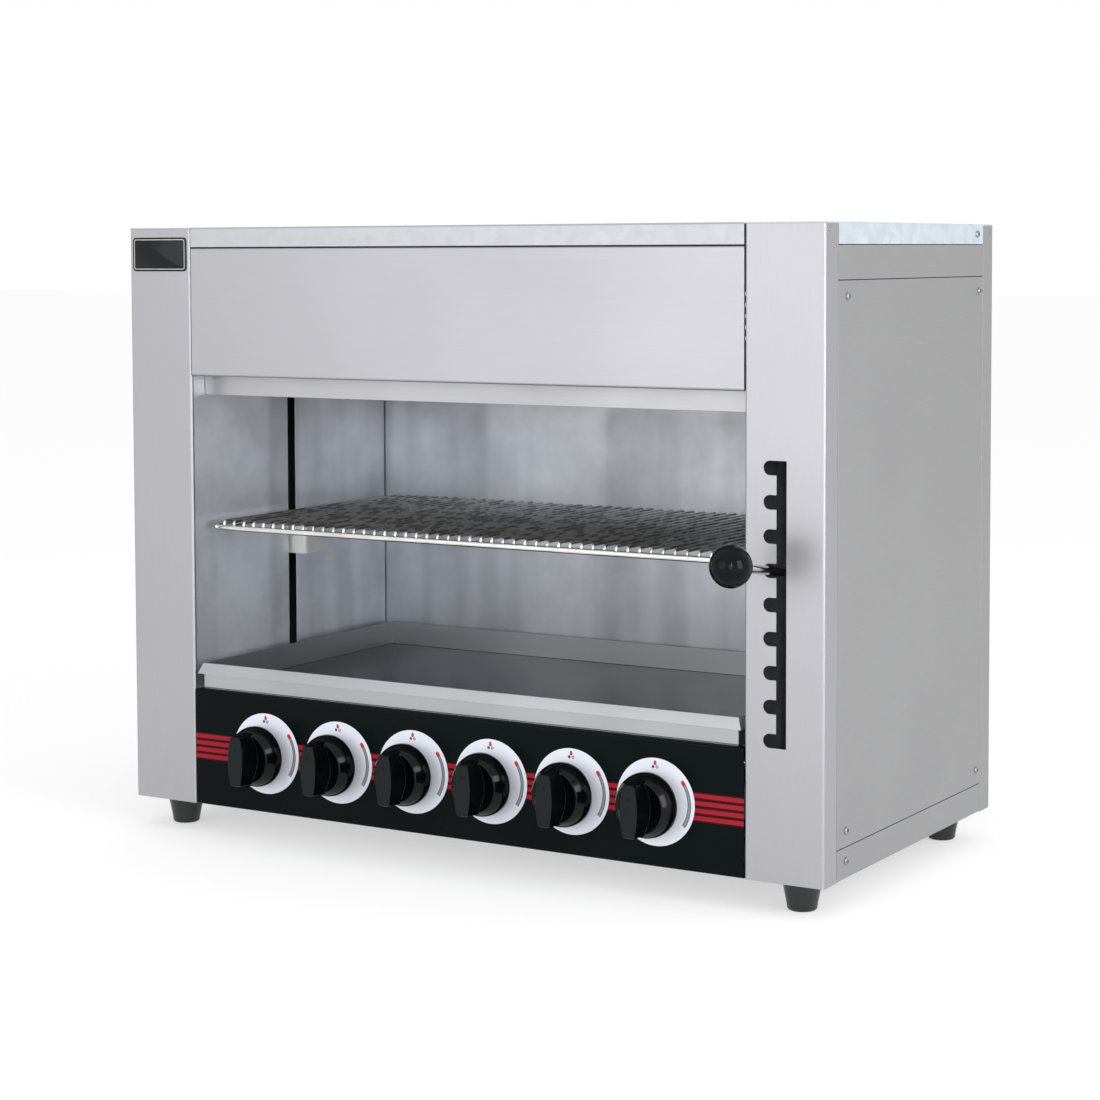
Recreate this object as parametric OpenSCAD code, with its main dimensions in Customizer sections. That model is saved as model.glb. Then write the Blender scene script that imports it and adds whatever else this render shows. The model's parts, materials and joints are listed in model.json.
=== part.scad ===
// Cheese melter: a free-standing gas grill whose infrared burners look down on a wire rack.
// The rack hangs on a carriage that a lever with a ball knob raises and drops into notches.
// X runs to the right, Y to the back and Z up. The origin lies on the floor under the middle.

/* [Body] */
// Width over the columns
body_w = 800; // [700:10:960]
// Depth over the columns
body_d = 400; // [360:10:480]
// Height of the body without its feet
body_h = 600; // [580:10:720]
// Thickness of the sheet steel
sheet = 1.2; // [1:0.1:1.5]
// Outer radius of a fold in the sheet
fold_r = 2.5; // [2:0.1:3]
// Open joint between neighbouring panels
joint_gap = 0.8; // [0.4:0.1:1.2]
// Height of the fold of the top cover
cover_h = 20; // [18:1:30]
// Height of the fold of the base pan at the sides
base_h = 30; // [28:1:40]
// Height of the upper side rails
rail_h = 32; // [26:1:50]

/* [Columns] */
// Width of the front columns
column_w = 80; // [78:1:100]
// Depth of the columns and posts seen from the side
return_d = 27; // [20:1:40]
// Width of the rear posts seen from the back
post_w = 27; // [20:1:40]
// Width of the lip behind a screwed panel
lip_w = 28; // [24:1:40]
// Depth of the fold on the inner edge of a front column
hem_d = 4; // [3.5:0.5:8]

/* [Hood and burners] */
// Height of the hood panel
hood_h = 132; // [110:1:150]
// Depth of the fold under the hood panel
hood_fold = 28; // [20:1:40]
// Height of the burner frame
frame_h = 21; // [18:1:23]
// Gap behind the burners for the hot gas
flue_gap = 18; // [16:1:30]
// Number of burners, taps and knobs
burners = 6; // [3:1:6]
// Height of a burner housing
housing_h = 46; // [46:1:60]
// Thickness of the ceramic plaques
plaque_t = 12; // [8:1:16]

/* [Cavity] */
// Step from the column edge to the cavity wall
wall_step = 5; // [4:0.5:7]
// Space behind the cavity
rear_space = 45; // [42:1:60]
// Width of the slot in a cavity wall
slot_w = 14; // [10:1:20]
// Distance of the slot from the front of the body
slot_y = 177; // [172:1:190]

/* [Lift] */
// Notches in the lever slot
notches = 9; // [7:1:9]
// Notch that holds the lever, counted from the top
rest_notch = 4; // [4:1:4]
// Height from one notch to the next
notch_pitch = 31.05; // [28:0.05:31.05]
// Height of a notch
notch_h = 13; // [11:0.5:16]
// Depth of a notch beside the channel
notch_d = 13; // [12:0.5:14]
// Width of the upright channel
channel_w = 10; // [9.5:0.5:12]
// Distance of the channel axis from the side of the body
channel_in = 43; // [41:1:44]
// Height of the hood panel above the top notch
notch_drop = 68.5; // [66:0.5:74]
// Diameter of the lever rod
rod_d = 8.5; // [7:0.5:9]
// Diameter of the ball on the lever
ball_d = 39; // [30:1:45]
// Distance of the ball's centre from the front
ball_reach = 65; // [58:1:80]
// Rise of the lever towards the ball, in degrees
lever_rise = 9; // [5:1:9]
// Distance of the lever pivot from the front
pivot_d = 140; // [132:1:142]
// Diameter of the lever pivot pin
pin_d = 8; // [6:1:9]
// Diameter of the guide rods
guide_d = 12; // [10:1:14]
// Distance of the guide rods from the side of the body
guide_in = 48; // [46:1:50]
// Height of the slider blocks
slider_h = 50; // [44:1:56]
// Running clearance on the radius of rods and pins
run_fit = 0.05; // [0.02:0.01:0.1]
// Height of the lift yoke bar
yoke_h = 25; // [20:1:40]
// Thickness of the lift yoke bar
yoke_t = 4; // [3:0.5:6]

/* [Rack] */
// Height of the rack frame above the lever in its notch
rack_rise = 2.65; // [0:0.05:6]
// Diameter of the rack frame
rack_d = 6; // [5:0.5:8]
// Gap between the rack frame and a cavity wall
rack_gap = 7; // [6:0.5:9]
// Distance of the front bar from the front of the body
rack_front = 25; // [20:1:40]
// Gap between the rear bar and the back wall
rack_back = 2; // [2:1:20]
// Diameter of the lengthways wires
wire_d = 3; // [2.5:0.5:4]
// Spacing of the lengthways wires
wire_pitch = 12.7; // [10:0.1:20]
// Height of the lengthways wires above the axis of the frame
wire_rise = 7; // [7:0.5:9]
// Diameter of the cross wires
cross_d = 4; // [3:0.5:4]
// Places of the cross wires as shares of the depth of the rack
cross_at = [0.31, 0.63, 0.82]; // [0.1:0.01:0.9]

/* [Tray] */
// Gap between the tray body and a column edge
tray_gap = 8.5; // [7:0.5:20]
// Height of the drip tray
tray_h = 26.7; // [20:0.1:28]
// Reach of the tray's sloping rim
rim_out = 5; // [3:0.5:6]
// Drop of the tray's sloping rim
rim_drop = 11; // [6:0.5:14]

/* [Controls] */
// Height of the control panel
panel_h = 121; // [115:1:123]
// Height of the knob axes
knob_z = 61.5; // [58:0.5:70]
// Spacing of the knobs
knob_pitch = 91; // [84:1:100]
// Diameter of the dial plates
dial_d = 83; // [70:1:83]
// Diameter of the knob skirt
skirt_d = 62; // [56:1:66]
// Distance of the knob's face from the panel
knob_reach = 52; // [46:1:60]
// Width of the grip across the knob
grip_w = 18; // [15:0.5:20]
// Diameter of the tap stem
stem_d = 8; // [6:1:10]
// How far a knob is pushed in
push = 3; // [2:0.5:3]

/* [Feet and supply] */
// Height of the rubber feet
foot_h = 30; // [25:1:50]
// Diameter of a foot at its top
foot_d = 38; // [34:1:44]
// Distance of a foot's axis from the side of the body
foot_in_x = 38; // [36:1:60]
// Distance of a foot's axis from the front and the back of the body
foot_in_y = 35; // [32:1:60]
// Outer diameter of the gas connection, a half-inch pipe thread
inlet_d = 20.95; // [20.95:0.01:21]
// How far the gas connection stands out
inlet_out = 25; // [20:1:40]

/* [Hidden] */
$fn = 48;

// Faces of the body, with z measured from its underside
half_w = body_w / 2;
half_d = body_d / 2;
front_y = -half_d;
column_x = half_w - column_w;
panel_x = column_x - joint_gap;
back_x = half_w - post_w - joint_gap;
side_y = half_d - return_d - joint_gap;
cavity_x = column_x + wall_step;
cavity_y = half_d - rear_space;
top_z = body_h - sheet;
rail_z = body_h - cover_h - rail_h;
hood_top = body_h - cover_h - joint_gap;
hood_z = hood_top - hood_h;
burner_z = hood_z - frame_h;
rear_base_h = 18;
hair = 0.02;

// The ball in front and the gas connection behind stand out; the origin is mid-way between them
body_y = (ball_reach + ball_d / 2 - inlet_out) / 2;

// Screws: places on a side of the body as [y, z], and heights on the back
screw_r = 3.7;
shank_r = 2;
hole_r = 2.2;
side_points = [
    [19.5 - side_y, base_h + 15], [side_y - 9.5, base_h + 15],
    [19.5 - side_y, rail_z - 15], [side_y - 9.5, rail_z - 15],
    [19.5 - side_y, base_h / 2 + 2], [side_y - 15, body_h - cover_h / 2]
];
back_heights = [rear_base_h + 14, body_h / 2, body_h - cover_h - 14];
rivet_r = 1.4;

// Lift, at the height where the lever rests in its notch
top_notch = hood_z - notch_drop;
lift_z = top_notch - (rest_notch - 1) * notch_pitch;
lane_x = half_w - channel_in;
rest_x = lane_x - channel_w / 2 - notch_d + notch_h / 2 - 0.5;
guide_x = half_w - guide_in;
guide_y = front_y + slot_y;
slot_low = panel_h + 11;
slot_high = burner_z - 2;
pivot_y = front_y + pivot_d;
pivot_z = lift_z - pivot_d * tan(lever_rise);
swing = atan((lane_x - rest_x) / pivot_d);
lever_l = (pivot_d + ball_reach) / cos(swing) / cos(lever_rise);
slider_w = 30;
slider_d = 36;
eye_h = 12;
eye_r = 9;
ear_gap = 13;
ear_t = 4;
bracket_t = 2.5;
bracket_x = cavity_x - 16;
bracket_z = lift_z - 41;
plate_t = 3;

// Rack
rack_z = lift_z + rack_rise;
rack_x = cavity_x - rack_gap - rack_d / 2;
rack_y0 = front_y + rack_front;
rack_y1 = cavity_y - rack_back - rack_d / 2;
rack_corner = 12;
wire_z = rack_z + wire_rise;
wire_bend = 3.5;
wire_count = floor((2 * rack_x - 2 * rack_d) / wire_pitch);
cross_z = wire_z - wire_d / 2 - cross_d / 2 - hair;

// Tray
tray_x = column_x - tray_gap;
tray_y0 = front_y + rim_out;
tray_y1 = cavity_y - rim_out - 2;
tray_z = panel_h + 0.3;

// Taps and gas pipes
tap_y = front_y + 15;
tap_l = 35;
tap_r = 13;
nipple_l = 8;
stem_hole = stem_d / 2 + run_fit;
stem_y = tap_y + tap_l - 10;
boss_out = 4.5;
manifold = 20;
manifold_y = tap_y + 15;
manifold_z = knob_z - tap_r - 2.5 - manifold;
pipe_r = 4;
pipe_y = cavity_y + sheet + pipe_r + 5;
pipe_bend = 14;
jet_z = burner_z + 35;
yoke_y = pipe_y + pipe_r + 5;
inlet_x = half_w - post_w - lip_w - 18;
inlet_z = manifold_z + manifold / 2;

// Burners
frame_y0 = front_y + hood_fold;
frame_y1 = cavity_y - flue_gap;
frame_x = cavity_x - 0.3;
frame_lip = 7;
housing_y0 = frame_y0 + sheet + 0.3;
housing_y1 = frame_y1 - sheet - 0.3;
housing_z = burner_z + sheet + hair;
burner_pitch = (2 * frame_x - 2 * sheet) / burners;
housing_w = burner_pitch - 3;

function knob_x(i) = (i - (burners - 1) / 2) * knob_pitch;
function burner_x(i) = (i - (burners - 1) / 2) * burner_pitch;
// A jet stands over its tap, or as near to that as its burner reaches
jet_play = housing_w / 2 - 9.5;
function jet_x(i) = max(burner_x(i) - jet_play, min(burner_x(i) + jet_play, knob_x(i)));
function arc(c, r, a0, a1, n) = [
    for (i = [0:n]) let (a = a0 + (a1 - a0) * i / n) [c[0] + r * cos(a), c[1] + r * sin(a)]
];

// Moves what is drawn on the body into the frame of the whole object
module on_body() {
    translate([0, body_y, foot_h]) children();
}

module both_sides() {
    children();
    mirror([1, 0, 0]) children();
}

// A block from its low corner to its high corner
module block(low, high) {
    translate(low) cube(high - low);
}

// Bars along X and Y between two places
module rod_x(r, x0, x1) {
    translate([x0, 0, 0]) rotate([0, 90, 0]) cylinder(h = x1 - x0, r = r);
}

module rod_y(r, y0, y1) {
    translate([0, y0, 0]) rotate([-90, 0, 0]) cylinder(h = y1 - y0, r = r);
}

// Quarter of a bent bar in the plane of X and Y, from angle a on
module bend(radius, r, a) {
    rotate([0, 0, a]) rotate_extrude(angle = 90) translate([radius, 0]) circle(r);
}

module rounded(size, r) {
    square([size[0] - 2 * r, size[1]], center = true);
    square([size[0], size[1] - 2 * r], center = true);
    for (x = [-1, 1], y = [-1, 1]) translate([x * (size[0] / 2 - r), y * (size[1] / 2 - r)]) circle(r);
}

// Section of a folded sheet: legs a along X and b along Y, with their outer faces on the axes
module fold(a, b, t = sheet, r = fold_r) {
    translate([r, 0]) square([a - r, t]);
    translate([0, r]) square([t, b - r]);
    intersection() {
        translate([r, r]) difference() {
            circle(r);
            circle(r - t);
        }
        square(r);
    }
}

// The same section as a strip along X or along Y, with leg a level and leg b upright
module fold_along_x(half_l, a, b) {
    translate([-half_l, 0, 0]) rotate([90, 0, 90]) linear_extrude(2 * half_l) fold(a, b);
}

module fold_along_y(half_l, a, b) {
    translate([0, half_l, 0]) rotate([90, 0, 0]) linear_extrude(2 * half_l) fold(a, b);
}

// Pan-head screw that stands on z = 0 with its shank below
module screw() {
    rotate_extrude() polygon(concat(
        [[0, -6], [shank_r, -6], [shank_r, 0], [screw_r, 0]],
        arc([screw_r - 1.6, 0.4], 1.6, 0, 90, 4), [[0, 2]]
    ));
}

// On the right side of the body, at the places of the side screws
module at_side_points() {
    for (p = side_points) translate([half_w, p[0], p[1]]) rotate([0, 90, 0]) children();
}

module at_back_points() {
    for (z = back_heights, s = [-1, 1]) translate([s * (back_x - 12), half_d, z]) rotate([-90, 0, 0])
        children();
}

// Rivets near the top of the column and of the post on the right side
module at_rivets() {
    for (s = [-1, 1]) translate([half_w, s * (half_d - 9), body_h - 7]) rotate([0, 90, 0]) children();
}

module hole(r) {
    cylinder(h = 16, r = r, center = true);
}

// ---- Casing ----

// Base pan, with an upright fold at each side and at the back
module base_pan() {
    plate_x = half_w - fold_r - 0.3;
    on_body() color("silver") difference() {
        union() {
            block([-plate_x, front_y + 12.8, 0], [plate_x, half_d - fold_r - 0.3, sheet]);
            both_sides() translate([half_w, 0, 0]) mirror([1, 0, 0])
                fold_along_y(side_y, 20, base_h - joint_gap);
            translate([0, half_d, 0]) mirror([0, 1, 0])
                fold_along_x(back_x, 20, rear_base_h - joint_gap);
        }
        at_feet() hole(4.3);
        both_sides() at_side_points() hole(hole_r);
    }
}

module at_feet() {
    for (x = [-1, 1], y = [-1, 1]) translate([x * (half_w - foot_in_x), y * (half_d - foot_in_y), 0])
        children();
}

// Lip behind the side panel, that takes its screws
module side_lip(y0, y1) {
    block([half_w - 2 * sheet, y0, fold_r + hair], [half_w - sheet, y1, body_h - fold_r - hair]);
}

// Front column: face, side return and lip, with a narrow fold on the inner edge
module front_column() {
    difference() {
        union() {
            linear_extrude(top_z - hair) {
                translate([half_w, front_y]) mirror([1, 0]) fold(column_w / 2 + 1, return_d);
                translate([column_x, front_y]) fold(column_w / 2, hem_d);
            }
            side_lip(front_y + return_d - 2, front_y + return_d + lip_w);
        }
        at_side_points() hole(hole_r);
        at_rivets() hole(rivet_r);
    }
}

// The ladder: an upright channel with a row of round-ended notches beside it
module lever_slot() {
    low = top_notch - (notches - 1) * notch_pitch;
    translate([lane_x - channel_w / 2, front_y, 0]) rotate([90, 0, 0])
        linear_extrude(4 * sheet, center = true) {
            translate([0, low - notch_h / 2]) square([channel_w, top_notch - low + notch_h]);
            for (i = [0:notches - 1]) translate([notch_h / 2 - notch_d, top_notch - i * notch_pitch]) {
                translate([0, -notch_h / 2]) square([notch_d, notch_h]);
                circle(d = notch_h);
            }
        }
}

module left_front_column() {
    on_body() color("gainsboro") mirror([1, 0, 0]) front_column();
}

module right_front_column() {
    on_body() color("gainsboro") difference() {
        front_column();
        lever_slot();
    }
}

// Cuts the rear corners of the casing round, as seen from the side
module rear_corners(low_x) {
    r = 5;
    for (m = [0, 1]) translate([low_x, half_d, m * body_h]) mirror([0, 0, m]) rotate([90, 0, 90])
        linear_extrude(body_w) difference() {
            translate([-r, -1]) square(r + 1);
            translate([-r, r]) circle(r);
        }
}

// Rear post: back face, side return and a lip behind the side panel and the back panel
module rear_post() {
    difference() {
        union() {
            translate([half_w, half_d, 0]) mirror([1, 0, 0]) mirror([0, 1, 0])
                linear_extrude(top_z - hair) fold(post_w, return_d);
            side_lip(half_d - return_d - lip_w, half_d - return_d + 2);
            block([half_w - post_w - lip_w, half_d - 2 * sheet, fold_r + hair],
                [half_w - post_w + 2, half_d - sheet, body_h - fold_r - hair]);
        }
        at_side_points() hole(hole_r);
        at_back_points() hole(hole_r);
        at_rivets() hole(rivet_r);
        rear_corners(0);
    }
}

module left_rear_post() {
    on_body() color("lightgray") mirror([1, 0, 0]) rear_post();
}

module right_rear_post() {
    on_body() color("lightgray") rear_post();
}

// Galvanised cover, folded down between the columns and posts, with rows of flue slots
module top_cover() {
    slot_l = 62;
    slot_t = 5;
    slots = 7;
    on_body() color("lightsteelblue") difference() {
        translate([0, 0, body_h]) mirror([0, 0, 1]) union() {
            linear_extrude(sheet) difference() {
                square([body_w, body_d], center = true);
                for (x = [-1, 1]) translate([x * half_w, 0]) square([2 * fold_r, 2 * side_y], center = true);
                translate([0, front_y]) square([2 * panel_x, 2 * fold_r], center = true);
                translate([0, half_d]) square([2 * back_x, 2 * fold_r], center = true);
            }
            both_sides() translate([half_w, 0, 0]) mirror([1, 0, 0]) fold_along_y(side_y, 20, cover_h);
            translate([0, front_y, 0]) fold_along_x(panel_x, 20, cover_h);
            translate([0, half_d, 0]) mirror([0, 1, 0]) fold_along_x(back_x, 20, cover_h);
        }
        for (i = [0:slots - 1], j = [0:3])
            translate([(i - (slots - 1) / 2) * 2 * panel_x / slots, frame_y1 - 16 + j * 14, body_h])
                linear_extrude(8, center = true) rounded([slot_l, slot_t], slot_t / 2 - 0.01);
        both_sides() {
            at_side_points() hole(hole_r);
            rear_corners(back_x + joint_gap / 2);
        }
    }
}

module hood_panel() {
    on_body() color("gainsboro") translate([0, front_y, 0]) {
        translate([0, 0, hood_z]) fold_along_x(panel_x, hood_fold, hood_h / 2 + 1);
        translate([0, 0, hood_top]) mirror([0, 0, 1]) fold_along_x(panel_x, 14, hood_h / 2);
    }
}

// Rails between column and post, over each side panel, with a tongue behind both joints
module upper_side_rails() {
    top = rail_z + rail_h - joint_gap;
    tongue_y = side_y - lip_w - 1;
    on_body() color("lightgray") both_sides() {
        block([half_w - sheet, -side_y, rail_z], [half_w, side_y, top]);
        translate([half_w, tongue_y, 0]) rotate([90, 0, 0]) linear_extrude(2 * tongue_y) polygon([
            [0, rail_z], [0, top], [-sheet, top], [-sheet, top + 6],
            [-2 * sheet, top + 6], [-2 * sheet, rail_z - 8], [-sheet, rail_z - 8], [-sheet, rail_z]
        ]);
    }
}

module side_panel() {
    difference() {
        block([half_w - sheet, -side_y, base_h], [half_w, side_y, rail_z - joint_gap]);
        at_side_points() hole(hole_r);
    }
}

module left_side_panel() {
    on_body() color("silver") mirror([1, 0, 0]) side_panel();
}

module right_side_panel() {
    on_body() color("silver") side_panel();
}

module side_screws() {
    on_body() color("gray") both_sides() {
        at_side_points() screw();
        at_rivets() {
            translate([0, 0, -3]) cylinder(h = 3, r = rivet_r);
            cylinder(h = 0.7, r = rivet_r + 0.7);
        }
    }
}

// Back panel with two blocks of air slots and the hole for the gas connection
module back_panel() {
    on_body() color("silver") difference() {
        block([-back_x, half_d - sheet, rear_base_h], [back_x, half_d, body_h - cover_h - joint_gap]);
        at_back_points() hole(hole_r);
        translate([inlet_x, half_d, inlet_z]) rotate([90, 0, 0]) hole(inlet_d / 2 + 1);
        for (i = [-2:2], j = [0:4], z = [rear_base_h + 40, body_h - cover_h - 100])
            translate([i * 120, half_d, z + j * 12]) rotate([90, 0, 0])
                linear_extrude(8, center = true) rounded([70, 4], 1.99);
    }
}

module back_screws() {
    on_body() color("gray") at_back_points() screw();
}

// Blank plate where a badge would be
module badge_plate() {
    plate = [71, 35];
    on_body() color("black") translate([-half_w + column_w / 2, front_y, body_h - 27.5])
        rotate([90, 0, 0]) linear_extrude(1) rounded(plate, 4);
}

module control_panel() {
    on_body() color([0.06, 0.08, 0.09]) difference() {
        translate([0, front_y, 0]) {
            fold_along_x(panel_x, 12, panel_h / 2 + 1);
            translate([0, 0, panel_h]) mirror([0, 0, 1]) fold_along_x(panel_x, 12, panel_h / 2);
        }
        at_knobs() hole(stem_d / 2 + 2);
    }
}

// On the front of the panel at one knob, with z pointing out of the panel
module at_knob(i) {
    translate([knob_x(i), front_y, knob_z]) rotate([90, 0, 0]) children();
}

module at_knobs() {
    for (i = [0:burners - 1]) at_knob(i) children();
}

module dial_plates() {
    on_body() color("lavender") at_knobs() difference() {
        cylinder(h = 0.8, d = dial_d);
        hole(stem_d / 2 + 3);
    }
}

// Tapered rubber feet, hollow below for the head of the bolt
module feet() {
    on_body() color("dimgray") at_feet() rotate_extrude() polygon(concat(
        [[4.3, 0], [4.3, 12 - foot_h], [8, 12 - foot_h], [8, -foot_h]],
        arc([foot_d / 2 - 8, 3 - foot_h], 3, -90, 0, 4),
        arc([foot_d / 2 - 1.5, -1.5], 1.5, 0, 90, 4)
    ));
}

module foot_bolts() {
    on_body() color("gray") at_feet() {
        translate([0, 0, 12 - foot_h]) cylinder(h = foot_h, r = 4);
        translate([0, 0, 12 - foot_h - 5.3]) cylinder(h = 5.3, r = 7, $fn = 6);
        translate([0, 0, sheet]) cylinder(h = 6.5, r = 7, $fn = 6);
    }
}

// ---- Cavity ----

module cavity_wall() {
    low = panel_h - 17;
    difference() {
        translate([0, 0, low]) linear_extrude(hood_z - low - hair) {
            translate([cavity_x, front_y + sheet]) fold(10, half_d);
            translate([cavity_x, cavity_y]) mirror([0, 1]) fold(10, half_d);
        }
        translate([cavity_x, guide_y, (slot_low + slot_high) / 2]) rotate([90, 0, 90])
            linear_extrude(8, center = true) rounded([slot_w, slot_high - slot_low], slot_w / 2 - 0.01);
    }
}

module cavity_left_wall() {
    on_body() color("lightslategray") mirror([1, 0, 0]) cavity_wall();
}

module cavity_right_wall() {
    on_body() color("lightslategray") cavity_wall();
}

module cavity_back_wall() {
    on_body() color("lightslategray")
        block([-cavity_x - 10, cavity_y, panel_h - 17], [cavity_x + 10, cavity_y + sheet, hood_z]);
}

// Floor under the drip tray, with a fold down beside each wall
module cavity_floor() {
    y0 = front_y + 12.8;
    on_body() color("slategray") both_sides() translate([cavity_x - 0.1, (y0 + cavity_y) / 2, panel_h])
        mirror([1, 0, 0]) mirror([0, 0, 1]) fold_along_y((cavity_y - y0) / 2 - 0.1, cavity_x, 15);
}

// Shallow tray whose rim slopes outwards, mitred at the corners
module drip_tray() {
    w = 2 * tray_x;
    d = tray_y1 - tray_y0;
    on_body() color("darkgray") translate([0, (tray_y0 + tray_y1) / 2, tray_z]) {
        difference() {
            block([-w / 2, -d / 2, 0], [w / 2, d / 2, tray_h]);
            block([sheet - w / 2, sheet - d / 2, sheet], [w / 2 - sheet, d / 2 - sheet, tray_h + 1]);
        }
        for (a = [0, 180]) rotate([0, 0, a]) {
            translate([0, -d / 2, tray_h]) tray_rim(w);
            rotate([0, 0, 90]) translate([0, -w / 2, tray_h]) tray_rim(d);
        }
    }
}

module tray_rim(l) {
    intersection() {
        translate([-l, 0, 0]) rotate([90, 0, 90]) linear_extrude(2 * l) polygon([
            [sheet, 0], [-0.5, 0], [-rim_out, -rim_drop], [sheet - rim_out, -rim_drop],
            [0, -sheet - 0.6], [sheet, -sheet - 0.6]
        ]);
        translate([0, 0, -rim_drop - 1]) linear_extrude(rim_drop + 2) polygon([
            [-l / 2 + sheet, sheet], [l / 2 - sheet, sheet],
            [l / 2 + rim_out, -rim_out], [-l / 2 - rim_out, -rim_out]
        ]);
    }
}

// ---- Burners and gas ----

// Ring that carries the burners on its inner lip
module burner_frame() {
    on_body() color("silver") difference() {
        block([-frame_x, frame_y0, burner_z], [frame_x, frame_y1, hood_z - hair]);
        block([sheet - frame_x, frame_y0 + sheet, burner_z + sheet],
            [frame_x - sheet, frame_y1 - sheet, hood_z]);
        block([frame_lip - frame_x, frame_y0 + frame_lip, burner_z - 1],
            [frame_x - frame_lip, frame_y1 - frame_lip, burner_z + 2]);
    }
}

module at_burners() {
    for (i = [0:burners - 1]) translate([burner_x(i), 0, housing_z]) children();
}

// Open-bottomed boxes with a lip that holds the plaques
module burner_housings() {
    w = housing_w / 2;
    on_body() color("darkgray") difference() {
        at_burners() difference() {
            block([-w, housing_y0, 0], [w, housing_y1, housing_h]);
            block([1 - w, housing_y0 + 1, 1], [w - 1, housing_y1 - 1, housing_h - 1]);
            block([5 - w, housing_y0 + 8, -1], [w - 5, housing_y1 - 8, 2]);
        }
        for (i = [0:burners - 1]) translate([jet_x(i), housing_y1, jet_z]) rotate([90, 0, 0]) hole(8.5);
    }
}

module burner_plaques() {
    w = housing_w / 2 - 1.3;
    l = (housing_y1 - housing_y0) / 2 - 1.3;
    mid = (housing_y0 + housing_y1) / 2;
    on_body() color("wheat") at_burners() translate([0, mid, 0]) for (s = [-1, 1])
        block([-w, s * (l + 0.3) / 2 - l / 2 + 0.15, 1 + hair], [w, s * (l + 0.3) / 2 + l / 2 - 0.15, 1 + plaque_t]);
}

// Flared mouths that draw in air round each gas jet
module venturi_tubes() {
    on_body() color("gray") for (i = [0:burners - 1]) translate([jet_x(i), housing_y1, jet_z])
        rotate([-90, 0, 0]) rotate_extrude()
            polygon([[8.5, 0], [11, 0], [11, 3.5], [12.5, 5.5], [11.5, 6], [8.5, 3]]);
}

module jet_holders() {
    y0 = housing_y1 + 8;
    on_body() color("goldenrod") for (i = [0:burners - 1]) translate([jet_x(i), 0, jet_z]) {
        rod_y(2.5, y0, y0 + 3);
        translate([0, y0 + 2.5, 0]) rotate([-90, 0, 0])
            cylinder(h = pipe_y - pipe_bend - y0 - 2.5, r = 7, $fn = 6);
    }
}

// Gas pipes: back from the taps, up behind the cavity and forward to the jets
module burner_pipes() {
    start = tap_y + tap_l + nipple_l;
    corner = pipe_y - pipe_bend;
    rise = jet_z - knob_z - 2 * pipe_bend;
    on_body() color("tan") for (i = [0:burners - 1]) translate([knob_x(i), 0, 0]) {
        lean = atan((jet_x(i) - knob_x(i)) / rise);
        translate([0, 0, knob_z]) rod_y(pipe_r, start, corner);
        translate([0, corner, knob_z + pipe_bend]) rotate([90, 0, 90]) bend(pipe_bend, pipe_r, -90);
        translate([0, pipe_y, knob_z + pipe_bend]) rotate([0, lean, 0]) cylinder(h = rise / cos(lean), r = pipe_r);
        translate([jet_x(i) - knob_x(i), corner, jet_z - pipe_bend]) rotate([90, 0, 90])
            bend(pipe_bend, pipe_r, 0);
    }
}

// Square gas rail under the taps, with two welded feet and a leg to the back
module gas_manifold() {
    x1 = inlet_x + manifold / 2;
    leg_y = cavity_y - 20;
    on_body() color("dimgray") {
        block([knob_x(0) - 25, manifold_y - manifold / 2, manifold_z],
            [x1, manifold_y + manifold / 2, manifold_z + manifold]);
        block([x1 - manifold, manifold_y, manifold_z], [x1, leg_y, manifold_z + manifold]);
        for (x = [knob_x(0) + knob_pitch / 2, -knob_x(0) - knob_pitch / 2])
            block([x - 10, manifold_y - 1.5, sheet + hair], [x + 10, manifold_y + 1.5, manifold_z]);
    }
}

// Brass taps: neck on the rail, body, collar for the stem and nipple for the pipe
module gas_taps() {
    on_body() color("darkgoldenrod") for (i = [0:burners - 1]) translate([knob_x(i), 0, knob_z])
        difference() {
            union() {
                rod_y(9, tap_y - 6, tap_y + 1);
                rod_y(tap_r, tap_y, tap_y + tap_l);
                rod_y(6, tap_y + tap_l - 1, tap_y + tap_l + nipple_l);
                translate([0, manifold_y, manifold_z + manifold - knob_z]) cylinder(h = tap_r, r = 7);
            }
            rod_y(stem_hole, tap_y - 7, stem_y + push + 1);
        }
}

// Gas connection through the back panel, with its locknut
module gas_inlet() {
    on_body() color("darkgoldenrod") translate([inlet_x, 0, inlet_z]) difference() {
        union() {
            rod_y(inlet_d / 2, cavity_y - 20, half_d + inlet_out);
            translate([0, half_d, 0]) rotate([-90, 30, 0]) cylinder(h = 5, r = 16, $fn = 6);
        }
        rod_y(7.5, cavity_y, half_d + inlet_out + 1);
    }
}

// ---- Lift ----

module guide_rods() {
    on_body() color("lightgray") both_sides() translate([guide_x, guide_y, slot_low - 24])
        cylinder(h = slot_high - slot_low + 32, d = guide_d);
}

// Angle brackets that hold the guide rods on the outer face of the cavity walls
module guide_brackets() {
    x0 = cavity_x + sheet;
    on_body() color("gray") both_sides() difference() {
        for (end = [[slot_low - 20, -18], [slot_high + 1, plate_t]]) translate([0, 0, end[0]]) {
            block([x0, guide_y - 16, 0], [guide_x + 14, guide_y + 16, plate_t]);
            block([x0, guide_y - 16, end[1]], [x0 + plate_t, guide_y + 16, end[1] + 18]);
        }
        translate([guide_x, guide_y, 0]) cylinder(h = body_h, r = guide_d / 2 + hair);
    }
}

// Block that runs on a guide rod
module slider() {
    translate([guide_x, guide_y, pivot_z - slider_h / 2]) difference() {
        linear_extrude(slider_h) rounded([slider_w, slider_d], 3);
        translate([0, 0, -1]) cylinder(h = slider_h + 2, r = guide_d / 2 + run_fit);
    }
}

module left_slider() {
    on_body() color("slategray") mirror([1, 0, 0]) slider();
}

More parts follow.
